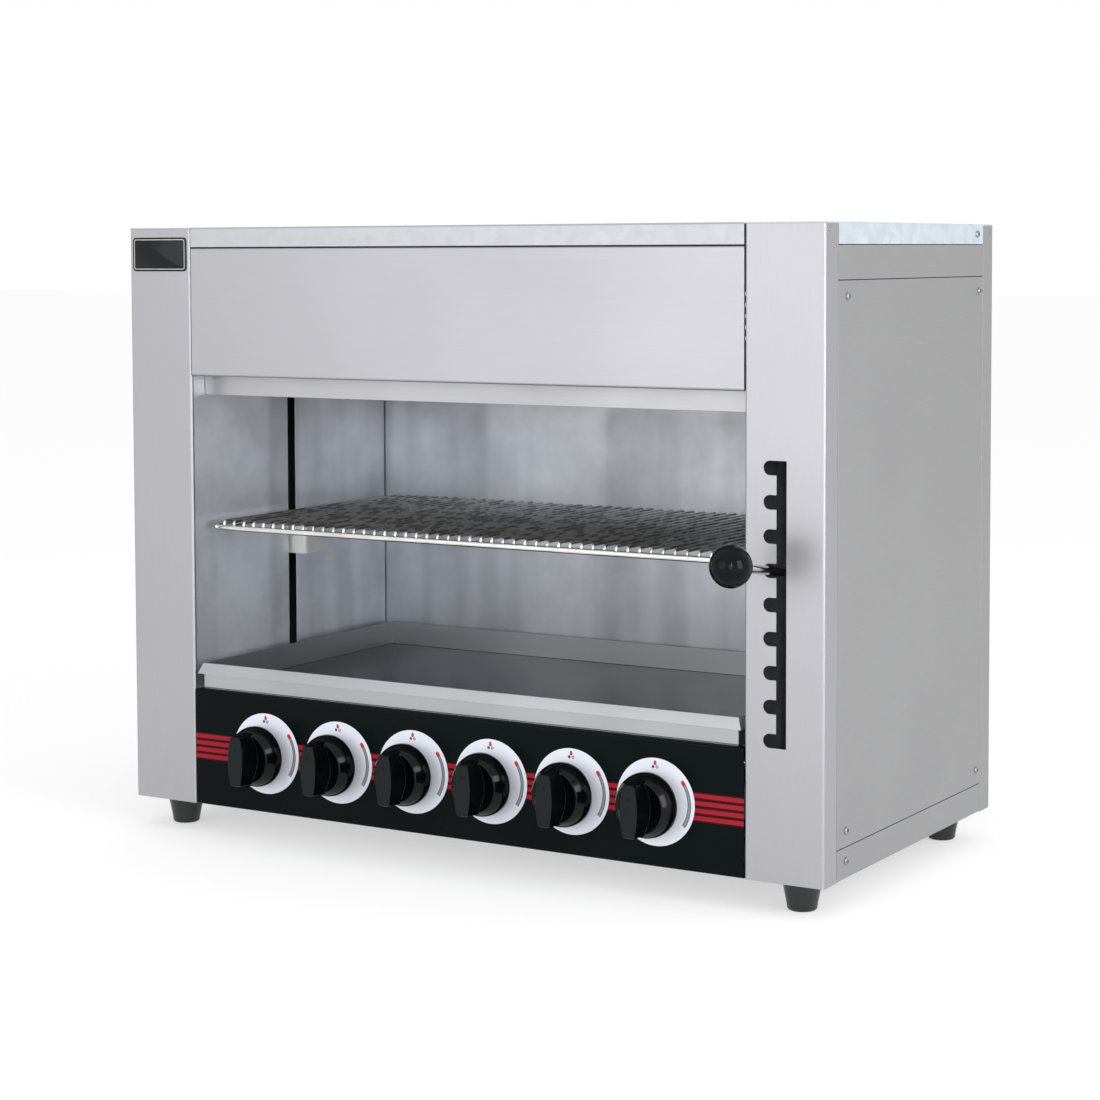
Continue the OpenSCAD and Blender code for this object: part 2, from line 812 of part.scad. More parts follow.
// The right block also carries the two ears of the lever pivot
module right_slider() {
    on_body() color("slategray") {
        slider();
        for (z = [-ear_gap / 2 - ear_t, ear_gap / 2]) translate([0, 0, pivot_z + z]) difference() {
            union() {
                translate([lane_x, pivot_y, 0]) cylinder(h = ear_t, r = 10);
                block([lane_x - 10, pivot_y, 0], [lane_x + 10, guide_y - slider_d / 2 + 1, ear_t]);
            }
            translate([lane_x, pivot_y, -1]) cylinder(h = ear_t + 2, r = pin_d / 2 + hair);
        }
    }
}

module lever_pivot_pin() {
    reach = ear_gap / 2 + ear_t;
    on_body() color("lightgray") translate([lane_x, pivot_y, pivot_z]) {
        translate([0, 0, -reach - 3]) cylinder(h = 2 * reach + 3.5, d = pin_d);
        translate([0, 0, reach + hair]) cylinder(h = 3, r = pin_d / 2 + 2);
    }
}

// Bent plate that reaches through the slot and turns back under the side of the rack
module rack_bracket() {
    top = rack_z - rack_d / 2 - hair;
    flange_x = guide_x - slider_w / 2 - hair;
    arm_y = guide_y - bracket_t / 2;
    translate([0, 0, bracket_z]) linear_extrude(top - bracket_z) {
        translate([bracket_x - bracket_t, arm_y]) fold(16, 44, bracket_t, 4);
        translate([flange_x, arm_y + bracket_t]) mirror([1, 0]) mirror([0, 1])
            fold(flange_x - bracket_x - 2, 16, bracket_t, 4);
    }
    block([bracket_x - bracket_t, arm_y + 4, top - bracket_t], [rack_x + 4, arm_y + 44, top]);
}

module left_rack_bracket() {
    on_body() color("whitesmoke") mirror([1, 0, 0]) rack_bracket();
}

module right_rack_bracket() {
    on_body() color("whitesmoke") rack_bracket();
}

// Flat bar round the back of the cavity that keeps both sliders level
module lift_yoke() {
    outer = [2 * guide_x + yoke_t, 2 * (yoke_y + yoke_t)];
    on_body() color("gray") translate([0, 0, pivot_z - yoke_h / 2]) linear_extrude(yoke_h)
        difference() {
            rounded(outer, 16);
            rounded([outer[0] - 2 * yoke_t, outer[1] - 2 * yoke_t], 16 - yoke_t);
            translate([-body_w, guide_y + slider_d / 2 + hair - body_d]) square([2 * body_w, body_d]);
        }
}

// Round-cornered ring of the rack
module rack_frame() {
    r = rack_d / 2;
    x = rack_x - rack_corner;
    on_body() color("lightgray") translate([0, 0, rack_z]) {
        for (y = [rack_y0, rack_y1]) translate([0, y, 0]) rod_x(r, -x, x);
        for (s = [-1, 1]) translate([s * rack_x, 0, 0]) rod_y(r, rack_y0 + rack_corner, rack_y1 - rack_corner);
        for (c = [[x, rack_y1 - rack_corner, 0], [-x, rack_y1 - rack_corner, 90],
                [-x, rack_y0 + rack_corner, 180], [x, rack_y0 + rack_corner, 270]])
            translate([c[0], c[1], 0]) bend(rack_corner, r, c[2]);
    }
}

// Lengthways wires, bent down onto the front and rear bars of the ring
module rack_wires() {
    r = wire_d / 2;
    stub = wire_rise - rack_d / 2 - wire_bend - hair;
    on_body() color("lightgray") for (i = [0:wire_count - 1])
        translate([(i - (wire_count - 1) / 2) * wire_pitch, 0, wire_z]) {
            rod_y(r, rack_y0 + wire_bend, rack_y1 - wire_bend);
            translate([0, rack_y1 - wire_bend, -wire_bend]) rotate([90, 0, 90]) bend(wire_bend, r, 0);
            translate([0, rack_y0 + wire_bend, -wire_bend]) rotate([90, 0, 90]) bend(wire_bend, r, 90);
            for (y = [rack_y0, rack_y1]) translate([0, y, -wire_bend - stub]) cylinder(h = stub, r = r);
        }
}

module rack_cross_wires() {
    end = rack_x - rack_d / 2 + 0.2;
    on_body() color("lightgray") for (s = cross_at)
        translate([0, rack_y0 + s * (rack_y1 - rack_y0), cross_z]) rod_x(cross_d / 2, -end, end);
}

// Along the lever, with z pointing from the pivot to the ball
module on_lever() {
    on_body() translate([lane_x, pivot_y, pivot_z]) rotate([0, 0, -swing]) rotate([90 - lever_rise, 0, 0])
        children();
}

module lever_rod() {
    color("lightgray") difference() {
        union() {
            on_lever() cylinder(h = lever_l - 8, d = rod_d);
            on_body() translate([lane_x, pivot_y, pivot_z - eye_h / 2]) cylinder(h = eye_h, r = eye_r);
        }
        on_body() translate([lane_x, pivot_y, pivot_z - eye_h]) cylinder(h = 2 * eye_h, r = pin_d / 2 + run_fit);
    }
}

module lever_ball() {
    color([0.03, 0.05, 0.06]) on_lever() difference() {
        translate([0, 0, lever_l]) sphere(d = ball_d);
        cylinder(h = lever_l - 7.9, r = rod_d / 2 + hair);
    }
}

// ---- Knobs ----

// Stem of a tap, that the knob turns on and pushes in
module tap_stem(i) {
    on_body() color("lightgray") translate([knob_x(i), 0, knob_z]) rod_y(stem_d / 2, front_y - 16, stem_y);
}

// Outline of the grip: two long arcs that meet the hub's edge narrower than the middle
module grip_outline(hub_r) {
    bulge = 3.2;
    big_r = (pow(hub_r, 2) + pow(bulge, 2)) / (2 * bulge);
    intersection() {
        translate([grip_w / 2 - big_r, 0]) circle(big_r);
        translate([big_r - grip_w / 2, 0]) circle(big_r);
    }
}

// Knob: sleeve, conical skirt up to a dished hub, and a barrel-shaped grip across it
module knob(i) {
    r = skirt_d / 2;
    hub_r = r - 5.7;
    hub_z = knob_reach - 19.5;
    dish = 7;
    dish_r = (pow(hub_r - 2, 2) + dish * dish) / (2 * dish);
    on_body() color([0.03, 0.05, 0.06]) at_knob(i) difference() {
        union() {
            difference() {
                rotate_extrude($fn = 72) polygon(concat(
                    [[0, boss_out], [14, boss_out], [14, 12.5], [r - 0.5, 14.5], [r, 15], [r, 17]],
                    arc([hub_r - 1.2, hub_z - 1.2], 1.2, 22, 90, 3), [[0, hub_z]]
                ));
                translate([0, 0, hub_z + dish_r - dish]) sphere(r = dish_r, $fn = 96);
            }
            intersection() {
                translate([0, 0, 18]) linear_extrude(knob_reach - 18) grip_outline(hub_r);
                rotate_extrude($fn = 72) polygon([
                    [0, 18], [hub_r + 1.2, 18], [hub_r - 0.3, knob_reach - 1], [hub_r - 1.1, knob_reach],
                    [0, knob_reach]
                ]);
            }
        }
        translate([0, 0, boss_out - 1]) cylinder(h = 13.5, r = stem_hole);
        translate([0, 12, knob_reach - 0.6]) cylinder(h = 1, r = 1.3);
    }
}

module tap_stem_1() {
    tap_stem(0);
}

module tap_stem_2() {
    tap_stem(1);
}

module tap_stem_3() {
    tap_stem(2);
}

module tap_stem_4() {
    tap_stem(3);
}

module tap_stem_5() {
    tap_stem(4);
}

module tap_stem_6() {
    tap_stem(5);
}

module knob_1() {
    knob(0);
}

module knob_2() {
    knob(1);
}

module knob_3() {
    knob(2);
}

module knob_4() {
    knob(3);
}

module knob_5() {
    knob(4);
}

module knob_6() {
    knob(5);
}

base_pan();
left_front_column();
right_front_column();
left_rear_post();
right_rear_post();
top_cover();
hood_panel();
upper_side_rails();
left_side_panel();
right_side_panel();
side_screws();
back_panel();
back_screws();
cavity_left_wall();
cavity_right_wall();
cavity_back_wall();
cavity_floor();
control_panel();
dial_plates();
gas_manifold();
gas_taps();
burner_pipes();
jet_holders();
gas_inlet();
burner_frame();
burner_housings();
burner_plaques();
venturi_tubes();
guide_rods();
guide_brackets();
feet();
foot_bolts();
badge_plate();
left_slider();
right_slider();
left_rack_bracket();
right_rack_bracket();
lift_yoke();
lever_pivot_pin();
rack_frame();
rack_wires();
rack_cross_wires();
lever_rod();
lever_ball();
drip_tray();
tap_stem_1();
tap_stem_2();
tap_stem_3();
tap_stem_4();
tap_stem_5();
tap_stem_6();
knob_1();
knob_2();
knob_3();
knob_4();
knob_5();
knob_6();
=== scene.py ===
"""Gas cheese melter: brushed steel casing, wire rack on a notched lift, drip tray and six gas knobs.
Sizes are in metres, in the frame of the CAD model: X to the right, Y to the back, Z up from the floor."""

import json
import math

import bmesh
import bpy
from mathutils import Matrix, Vector


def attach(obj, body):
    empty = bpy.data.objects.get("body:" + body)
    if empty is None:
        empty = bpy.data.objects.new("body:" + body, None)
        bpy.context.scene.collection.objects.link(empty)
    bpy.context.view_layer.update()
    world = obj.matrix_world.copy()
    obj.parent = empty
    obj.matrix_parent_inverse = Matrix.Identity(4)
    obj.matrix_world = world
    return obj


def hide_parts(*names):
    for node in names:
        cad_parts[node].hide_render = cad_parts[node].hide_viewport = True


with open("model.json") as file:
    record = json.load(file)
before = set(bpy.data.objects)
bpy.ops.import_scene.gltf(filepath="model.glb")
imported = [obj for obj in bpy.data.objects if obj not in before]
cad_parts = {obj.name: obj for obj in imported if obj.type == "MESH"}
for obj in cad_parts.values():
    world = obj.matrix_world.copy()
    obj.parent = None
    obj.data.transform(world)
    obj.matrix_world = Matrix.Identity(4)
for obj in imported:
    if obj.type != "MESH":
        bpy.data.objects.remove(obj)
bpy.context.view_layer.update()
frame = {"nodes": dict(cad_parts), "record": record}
record = frame["record"]
body_of = {node: body for body, nodes in record["behaviour"]["bodies"].items() for node in nodes}

# ---- Rubber feet ----
# Four moulded black rubber feet, tapered and rounded off towards the floor.
# Each is held by a bolt through the base pan, with its head up inside the hollow of the foot.

MIDDLE = 0.02975  # middle of the casing along Y


def principled(name, color, roughness, metallic=0.0, **sockets):
    """A material with one Principled shader and plain values; returns it with its nodes, links and shader."""
    mat = bpy.data.materials.new(name)
    mat.use_nodes = True
    nodes, links = mat.node_tree.nodes, mat.node_tree.links
    shader = nodes["Principled BSDF"]
    shader.inputs["Base Color"].default_value = (*color, 1)
    shader.inputs["Roughness"].default_value = roughness
    shader.inputs["Metallic"].default_value = metallic
    for key, value in sockets.items():
        shader.inputs[key.replace("_", " ")].default_value = value
    return mat, nodes, links, shader


def node(nodes, kind, links=None, values=(), **settings):
    """Adds a shader node, sets its properties, then its inputs by number or name."""
    made = nodes.new(kind)
    for key, value in settings.items():
        setattr(made, key, value)
    for key, value in dict(values).items():
        if isinstance(value, bpy.types.NodeSocket):
            links.new(value, made.inputs[key])
        else:
            made.inputs[key].default_value = value
    return made


def group(name, inputs, outputs):
    """An empty shader node group with named sockets; returns it with its nodes, links and end nodes."""
    tree = bpy.data.node_groups.new(name, "ShaderNodeTree")
    for title, kind, value in inputs:
        socket = tree.interface.new_socket(title, in_out="INPUT", socket_type="NodeSocket" + kind)
        socket.default_value = value
    for title, kind in outputs:
        tree.interface.new_socket(title, in_out="OUTPUT", socket_type="NodeSocket" + kind)
    start = tree.nodes.new("NodeGroupInput")
    end = tree.nodes.new("NodeGroupOutput")
    return tree, tree.nodes, tree.links, start, end


def place(nodes, links, tree, **values):
    """Puts a node group in a material with its own values."""
    named = {key.replace("_", " "): value for key, value in values.items()}
    return node(nodes, "ShaderNodeGroup", links, named, node_tree=tree)


def maths(nodes, links, operation, *values):
    """Result of one sum on numbers or sockets."""
    return node(nodes, "ShaderNodeMath", links, dict(enumerate(values)), operation=operation).outputs[0]


def ramp(nodes, links, value, low, high, start=0.0, stop=1.0, kind="LINEAR"):
    """A value brought from low..high to start..stop and held at both ends."""
    return node(nodes, "ShaderNodeMapRange", links, {
        0: value, 1: low, 2: high, 3: start, 4: stop,
    }, interpolation_type=kind).outputs[0]


def mixed(nodes, links, mask, low, high):
    """Number or colour between two, by a mask; a colour is a tuple or a socket."""
    if isinstance(low, float):
        return ramp(nodes, links, mask, 0.0, 1.0, low, high)
    ends = [(*color, 1) if isinstance(color, tuple) else color for color in (low, high)]
    return node(nodes, "ShaderNodeMix", links, {0: mask, 6: ends[0], 7: ends[1]}, data_type="RGBA").outputs[2]


def object_place(nodes):
    """Object coordinates."""
    return node(nodes, "ShaderNodeTexCoord").outputs["Object"]


def feed(links, shader, **results):
    """Links results to the named inputs of a shader."""
    for key, result in results.items():
        links.new(result, shader.inputs[key.replace("_", " ")])


def bumped(nodes, links, shader, height, strength, distance=0.0001):
    """Fine relief that is too small for geometry."""
    bump = node(nodes, "ShaderNodeBump", links, {"Height": height, "Strength": strength, "Distance": distance})
    feed(links, shader, Normal=bump.outputs[0])


def noise(nodes, links, where, scale, detail, roughness=0.5):
    """Soft noise between 0 and 1."""
    return node(nodes, "ShaderNodeTexNoise", links, {
        "Vector": where, "Scale": scale, "Detail": detail, "Roughness": roughness,
    }).outputs[0]


def wear_group():
    """Soft patches and fine specks on Object coordinates, for smudges, dust and uneven gloss."""
    tree, nodes, links, start, end = group(
        "wear", [("Size", "Float", 0.06), ("Speck Size", "Float", 0.002)],
        [("Patches", "Float"), ("Specks", "Float")],
    )
    where = object_place(nodes)
    for size, out, low, high, detail in (
        ("Size", "Patches", 0.25, 0.75, 1.5), ("Speck Size", "Specks", 0.55, 0.75, 3.0),
    ):
        scale = maths(nodes, links, "DIVIDE", 1.0, start.outputs[size])
        cloud = noise(nodes, links, where, scale, detail)
        links.new(ramp(nodes, links, cloud, low, high), end.inputs[out])
    return tree


wear = wear_group()


def rough_dark(name, low, high, rough, size=0.02, bump=0.0, **sockets):
    """Rubber, moulded plastic or enamel: two near tones and uneven gloss in soft patches."""
    mat, nodes, links, shader = principled(name, low, rough[0], **sockets)
    worn = place(nodes, links, wear, Size=size, Speck_Size=0.0015)
    feed(links, shader, Base_Color=mixed(nodes, links, worn.outputs["Patches"], low, high),
         Roughness=mixed(nodes, links, worn.outputs["Patches"], *rough))
    if bump:
        bumped(nodes, links, shader, worn.outputs["Specks"], bump, 0.0004)
    return mat


def smooth(mesh, angle=32):
    """Shades a mesh smooth, with sharp edges over an angle."""
    mesh.shade_smooth()
    mesh.set_sharp_from_angle(angle=math.radians(angle))
    return mesh


def made(name, mesh, material):
    """An object at the origin for a mesh whose place is in its vertices."""
    thing = bpy.data.objects.new(name, mesh)
    bpy.context.collection.objects.link(thing)
    mesh.materials.clear()
    mesh.materials.append(material)
    return thing


def stands_for(thing, cad_node):
    """The piece moves with the CAD node's body, takes its slot and is shown in its place."""
    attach(thing, body_of[cad_node])
    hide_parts(cad_node)
    return thing


def turned(profile, centre, out, steps=64):
    """Mesh data of a profile of (radius, height) turned round an axis that points to `out`."""
    bm = bmesh.new()
    turn = Vector((0, 0, 1)).rotation_difference(Vector(out)).to_matrix().to_4x4()
    here = Matrix.Translation(centre) @ turn
    rings = []
    for radius, height in profile:
        if radius < 1e-7:
            rings.append([bm.verts.new(here @ Vector((0, 0, height)))])
            continue
        rings.append([
            bm.verts.new(here @ Vector((
                radius * math.cos(2 * math.pi * i / steps), radius * math.sin(2 * math.pi * i / steps), height,
            ))) for i in range(steps)
        ])
    for low, high in zip(rings, rings[1:]):
        for i in range(steps):
            j = (i + 1) % steps
            if len(low) == 1:
                bm.faces.new((low[0], high[j], high[i]))
            elif len(high) == 1:
                bm.faces.new((low[i], low[j], high[0]))
            else:
                bm.faces.new((low[i], low[j], high[j], high[i]))
    bmesh.ops.recalc_face_normals(bm, faces=bm.faces)
    return bm


def mesh_of(name, *parts):
    """One mesh out of several bmeshes."""
    whole = bmesh.new()
    for part in parts:
        spare = bpy.data.meshes.new("spare")
        part.to_mesh(spare)
        part.free()
        whole.from_mesh(spare)
        bpy.data.meshes.remove(spare)
    mesh = bpy.data.meshes.new(name)
    whole.to_mesh(mesh)
    whole.free()
    return mesh


def quarter(centre, radius, start, stop, steps=5):
    """Points of a rounded corner in a profile."""
    return [
        (centre[0] + radius * math.cos(math.radians(start + (stop - start) * i / steps)),
         centre[1] + radius * math.sin(math.radians(start + (stop - start) * i / steps)))
        for i in range(steps + 1)
    ]


rubber = rough_dark("black_rubber", (0.008, 0.009, 0.010), (0.016, 0.017, 0.017), (0.32, 0.46), 0.012, 0.2)
foot_places = [(x, y + MIDDLE) for x in (-0.362, 0.362) for y in (-0.165, 0.165)]
foot_profile = (
    [(0.0043, 0.030), (0.0043, 0.012), (0.0080, 0.0118), (0.0080, 0.0004), (0.0086, 0.0)]
    + quarter((0.0110, 0.0030), 0.0030, -90, -12)
    + [(0.0146, 0.0070), (0.0160, 0.0140), (0.0175, 0.0215), (0.0187, 0.0262)]
    + quarter((0.0175, 0.0285), 0.0015, 0, 90)
    + [(0.0043, 0.030)]
)
feet = made("rubber_feet", smooth(mesh_of("rubber_feet", *[
    turned(foot_profile, Vector((x, y, 0)), (0, 0, 1), 48) for x, y in foot_places
])), rubber)
stands_for(feet, "feet")

# ---- Bolts of the feet ----
# Zinc-plated hexagon bolts and nuts that clamp the feet to the base pan.
# The heads sit up in the hollows of the feet, the nuts inside the pan.


def scaled(nodes, links, vector, by):
    """Vector or colour times another, or times a number."""
    return node(nodes, "ShaderNodeVectorMath", links, {0: vector, 1: by}, operation="MULTIPLY").outputs[0]


def grain_group():
    """Brush lines in rolled sheet: noise drawn out along one direction of Object coordinates."""
    tree, nodes, links, start, end = group(
        "brush_grain", [("Across", "Vector", (1, 1, 0.02)), ("Fineness", "Float", 900.0)], [("Lines", "Float")],
    )
    drawn = scaled(nodes, links, object_place(nodes), start.outputs["Across"])
    links.new(noise(nodes, links, drawn, start.outputs["Fineness"], 4.0, 0.6), end.inputs["Lines"])
    return tree


grain = grain_group()


def worn_metal(name, low, high, rough, size=0.04, metallic=1.0, across=None, lines=0.0):
    """Metal in two near tones, with uneven gloss, and with brush lines if `across` says which way they cross."""
    mat, nodes, links, shader = principled(name, low, rough[0], metallic)
    patches = place(nodes, links, wear, Size=size, Speck_Size=0.0025).outputs["Patches"]
    color = mixed(nodes, links, patches, low, high)
    gloss = mixed(nodes, links, patches, *rough)
    if across:
        brushed = place(nodes, links, grain, Across=across, Fineness=900.0).outputs["Lines"]
        streak = ramp(nodes, links, brushed, 0.25, 0.75, 1 - 0.35 * lines, 1 + 0.2 * lines)
        color = scaled(nodes, links, color, streak)
        gloss = maths(nodes, links, "DIVIDE", gloss, streak)
        bumped(nodes, links, shader, brushed, lines)
    feed(links, shader, Base_Color=color, Roughness=gloss)
    return mat


zinc = worn_metal("zinc_plate", (0.50, 0.51, 0.50), (0.40, 0.41, 0.40), (0.28, 0.42), 0.01)


def formed(cad_node, name, material, edge=0.00025, angle=28, segments=2, clamp=False, reshape=None):
    """A formed or machined piece from its CAD solid: faces joined up, cut edges eased with a fine bevel."""
    bm = bmesh.new()
    bm.from_mesh(frame["nodes"][cad_node].data)
    bmesh.ops.remove_doubles(bm, verts=bm.verts, dist=2e-6)
    bmesh.ops.dissolve_limit(bm, angle_limit=math.radians(0.4), verts=bm.verts, edges=bm.edges)
    if reshape:
        reshape(bm)
    mesh = bpy.data.meshes.new(name)
    bm.to_mesh(mesh)
    bm.free()
    mesh.shade_smooth()
    thing = made(name, mesh, material)
    if edge:
        bevel = thing.modifiers.new("eased_edges", "BEVEL")
        bevel.width, bevel.segments, bevel.limit_method = edge, segments, "ANGLE"
        bevel.angle_limit = math.radians(angle)
        bevel.use_clamp_overlap = clamp
        bevel.miter_outer = "MITER_ARC"
    flat = thing.modifiers.new("flat_faces", "WEIGHTED_NORMAL")
    flat.weight, flat.keep_sharp = 90, True
    return stands_for(thing, cad_node)


formed("foot_bolts", "foot_bolts_and_nuts", zinc, 0.0004)

# ---- Base pan ----
# Folded steel pan under the machine, which carries everything else.
# Its side folds show as a bright strip below the side panels.

STEEL_LOW, STEEL_HIGH = (0.415, 0.412, 0.438), (0.398, 0.395, 0.419)
UPRIGHT, LEVEL_X, LEVEL_Y = (1, 1, 0.04), (0.04, 1, 1), (1, 0.04, 1)
side_steel = worn_metal(
    "side_steel", (0.384, 0.384, 0.390), (0.366, 0.366, 0.372), (0.54, 0.60), 0.16, 1.0, LEVEL_Y, 0.08)
formed("base_pan", "folded_base_pan", side_steel, 0.0003)

# ---- Rear posts and front columns ----
# Brushed stainless sheet, folded round the corners of the body; the grain runs upright.
# The right column has the notched slot that the lever is parked in.

column_steel = worn_metal("column_steel", STEEL_LOW, STEEL_HIGH, (0.38, 0.44), 0.18, 1.0, UPRIGHT, 0.08)
for side in ("left", "right"):
    formed(f"{side}_rear_post", f"{side}_post_sheet", side_steel, 0.0003)
    formed(f"{side}_front_column", f"{side}_column_sheet", column_steel, 0.0003)

# ---- Side panels, rails and their screws ----
# Plain stainless panels let in flush between column, post, rail and base fold. Small pan-head screws
# with a cross recess hold them; the column and the post have one blind rivet each near the top.

for side in ("left", "right"):
    formed(f"{side}_side_panel", f"{side}_panel_sheet", side_steel, 0.0003)
formed("upper_side_rails", "side_rail_sheets", side_steel, 0.0003)

# Near-black colour for beads in the open joints, as painted shade in the gaps.
joint_shade_black = rough_dark("painted_joint_shade", (0.003, 0.003, 0.004), (0.007, 0.007, 0.008), (0.55, 0.7), 0.01)


def tube(path, radius, sides, closed=False):
    """A round wire along a path, with square cut ends."""
    bm = bmesh.new()
    rings = []
    path = [Vector(p) for p in path]
    count = len(path)
    side = None
    for i, p in enumerate(path):
        before = path[i - 1] if (i or closed) else p
        after = path[(i + 1) % count] if (closed or i < count - 1) else p
        way = (after - before).normalized()
        if side is None:
            side = way.orthogonal().normalized()
        side = (side - way * side.dot(way)).normalized()
        up = way.cross(side)
        rings.append([
            bm.verts.new(p + radius * (math.cos(a) * side + math.sin(a) * up))
            for a in [2 * math.pi * k / sides for k in range(sides)]
        ])
    pairs = list(zip(rings, rings[1:])) + ([(rings[-1], rings[0])] if closed else [])
    for low, high in pairs:
        for k in range(sides):
            bm.faces.new((low[k], low[(k + 1) % sides], high[(k + 1) % sides], high[k]))
    if not closed:
        bm.faces.new(rings[0][::-1])
        bm.faces.new(rings[-1])
    bmesh.ops.recalc_face_normals(bm, faces=bm.faces)
    return bm


# Front face and half width of the casing, the joints between its sheets, and how thick the black beads of painted
# shade in them are.
FRONT, HALF_WIDTH = -0.17025, 0.400
COLUMN_JOINT, POST_JOINT = -0.14285, 0.20235
BASE_JOINT, PANEL_JOINT, COVER_JOINT = 0.0596, 0.5776, 0.6096
HOOD_JOINT, HOOD_DEPTH = 0.3196, FRONT + 0.0009
BEAD_R, HOOD_BEAD_R = 0.00040, 0.00042

# Black beads along the joints of the hood, cover, panels, columns and posts: painted shade where the gaps are dark.
beads = [
    tube([(s * HOOD_JOINT, HOOD_DEPTH, z) for z in (0.4775, 0.6270)], HOOD_BEAD_R, 8) for s in (-1, 1)
] + [tube([(s * HOOD_JOINT, HOOD_DEPTH, COVER_JOINT) for s in (-1, 1)], HOOD_BEAD_R, 8)] + [
    tube([(s * (HALF_WIDTH - 0.0008), *end) for end in joint], BEAD_R, 8) for s in (-1, 1) for joint in (
        [(COLUMN_JOINT, PANEL_JOINT), (POST_JOINT, PANEL_JOINT)],
        [(COLUMN_JOINT, COVER_JOINT), (POST_JOINT, COVER_JOINT)],
        [(COLUMN_JOINT, BASE_JOINT), (POST_JOINT, BASE_JOINT)],
        [(COLUMN_JOINT, 0.032), (COLUMN_JOINT, COVER_JOINT)],
        [(POST_JOINT, 0.036), (POST_JOINT, COVER_JOINT)],
    )
]
stands_for(made("joint_beads", smooth(mesh_of("joint_beads", *beads), 60), joint_shade_black), "upper_side_rails")

screw_steel = worn_metal("screw_steel", (0.42, 0.42, 0.43), (0.26, 0.26, 0.27), (0.25, 0.4), 0.003)


def screw_head():
    """Flat pan head of 7.4 mm with a cross recess, on z = 0."""
    bm = turned(
        [(0.0, -0.0008), (0.0021, -0.0008), (0.0021, 0.0), (0.0036, 0.0)]
        + quarter((0.0021, 0.0004), 0.0016, -15, 75)
        + [(0.0013, 0.00198), (0.0, 0.0020)], (0, 0, 0), (0, 0, 1), 24)
    cross = bpy.data.meshes.new("cross")
    cutter = bmesh.new()
    for size in ((0.0040, 0.0011), (0.0011, 0.0040)):
        bar = bmesh.ops.create_cube(cutter, size=1)["verts"]
        bmesh.ops.scale(cutter, vec=(*size, 0.0026), verts=bar)
        bmesh.ops.translate(cutter, vec=(0, 0, 0.0020), verts=bar)
    cutter.to_mesh(cross)
    cutter.free()
    mesh = mesh_of("screw_head", bm)
    head, tool = made("screw_head", mesh, screw_steel), made("cross", cross, screw_steel)
    cut = head.modifiers.new("cross_recess", "BOOLEAN")
    cut.operation, cut.object, cut.solver, cut.use_self = "DIFFERENCE", tool, "EXACT", True
    result = bpy.data.meshes.new_from_object(head.evaluated_get(bpy.context.evaluated_depsgraph_get()))
    bpy.data.objects.remove(head)
    bpy.data.objects.remove(tool)
    return smooth(result, 30)


def repeat_tree(name, inputs):
    """Starts a Geometry Nodes tree with named inputs; returns it, its nodes, links and end nodes."""
    tree = bpy.data.node_groups.new(name, "GeometryNodeTree")
    tree.interface.new_socket("Geometry", in_out="INPUT", socket_type="NodeSocketGeometry")
    for title, kind in inputs:
        tree.interface.new_socket(title, in_out="INPUT", socket_type="NodeSocket" + kind)
    tree.interface.new_socket("Geometry", in_out="OUTPUT", socket_type="NodeSocketGeometry")
    return tree, tree.nodes, tree.links, tree.nodes.new("NodeGroupInput"), tree.nodes.new("NodeGroupOutput")


def finish_tree(nodes, links, start, end, instances):
    """Realize Instances and Set Material at the end of a tree."""
    real = node(nodes, "GeometryNodeRealizeInstances", links, {0: instances})
    painted = node(nodes, "GeometryNodeSetMaterial", links, {
        "Geometry": real.outputs[0], "Material": start.outputs["Material"],
    })
    links.new(painted.outputs[0], end.inputs[0])


def grown(name, tree, base, values, material):
    """Runs a Geometry Nodes tree on a base mesh and keeps the result as a plain mesh."""
    thing = made(name, base, material)
    build = thing.modifiers.new("build", "NODES")
    build.node_group = tree
    for item in tree.interface.items_tree:
        if item.in_out == "INPUT" and item.name in values:
            build[item.identifier] = values[item.name]
    result = bpy.data.meshes.new_from_object(thing.evaluated_get(bpy.context.evaluated_depsgraph_get()))
    thing.modifiers.clear()
    thing.data = result
    result.name = name
    return thing


def screws_tree():
    """Sets a screw head on every point, turned to the point's normal and by its own angle."""
    tree, nodes, links, start, end = repeat_tree("screws_on_points", [
        ("Screw", "Object"), ("Turn Seed", "Int"), ("Material", "Material"),
    ])
    info = node(nodes, "GeometryNodeObjectInfo", links, {"Object": start.outputs["Screw"]})
    out = node(nodes, "GeometryNodeInputNamedAttribute", links, {"Name": "out"}, data_type="FLOAT_VECTOR")
    turn = node(nodes, "FunctionNodeAlignRotationToVector", links, {"Vector": out.outputs[0]}, axis="Z")
    angle = node(nodes, "FunctionNodeRandomValue", links, {2: 0.0, 3: 3.1, "Seed": start.outputs["Turn Seed"]})
    spin = node(nodes, "FunctionNodeAxisAngleToRotation", links, {"Axis": (0, 0, 1), "Angle": angle.outputs[1]})
    both = node(nodes, "FunctionNodeRotateRotation", links, {
        0: turn.outputs[0], 1: spin.outputs[0],
    }, rotation_space="LOCAL")
    heads = node(nodes, "GeometryNodeInstanceOnPoints", links, {
        "Points": start.outputs["Geometry"], "Instance": info.outputs["Geometry"], "Rotation": both.outputs[0],
    })
    finish_tree(nodes, links, start, end, heads.outputs[0])
    return tree


def points(name, places):
    """A mesh of bare points, each with the direction that its instance faces."""
    mesh = bpy.data.meshes.new(name)
    mesh.from_pydata([p for p, _ in places], [], [])
    out = mesh.attributes.new("out", "FLOAT_VECTOR", "POINT")
    for i, (_, way) in enumerate(places):
        out.data[i].vector = way
    return mesh


UNDERSIDE = 0.030


def body_point(x, y, z):
    """A place measured from the underside and the middle of the casing, in the frame of the object."""
    return (x, y + MIDDLE, z + UNDERSIDE)


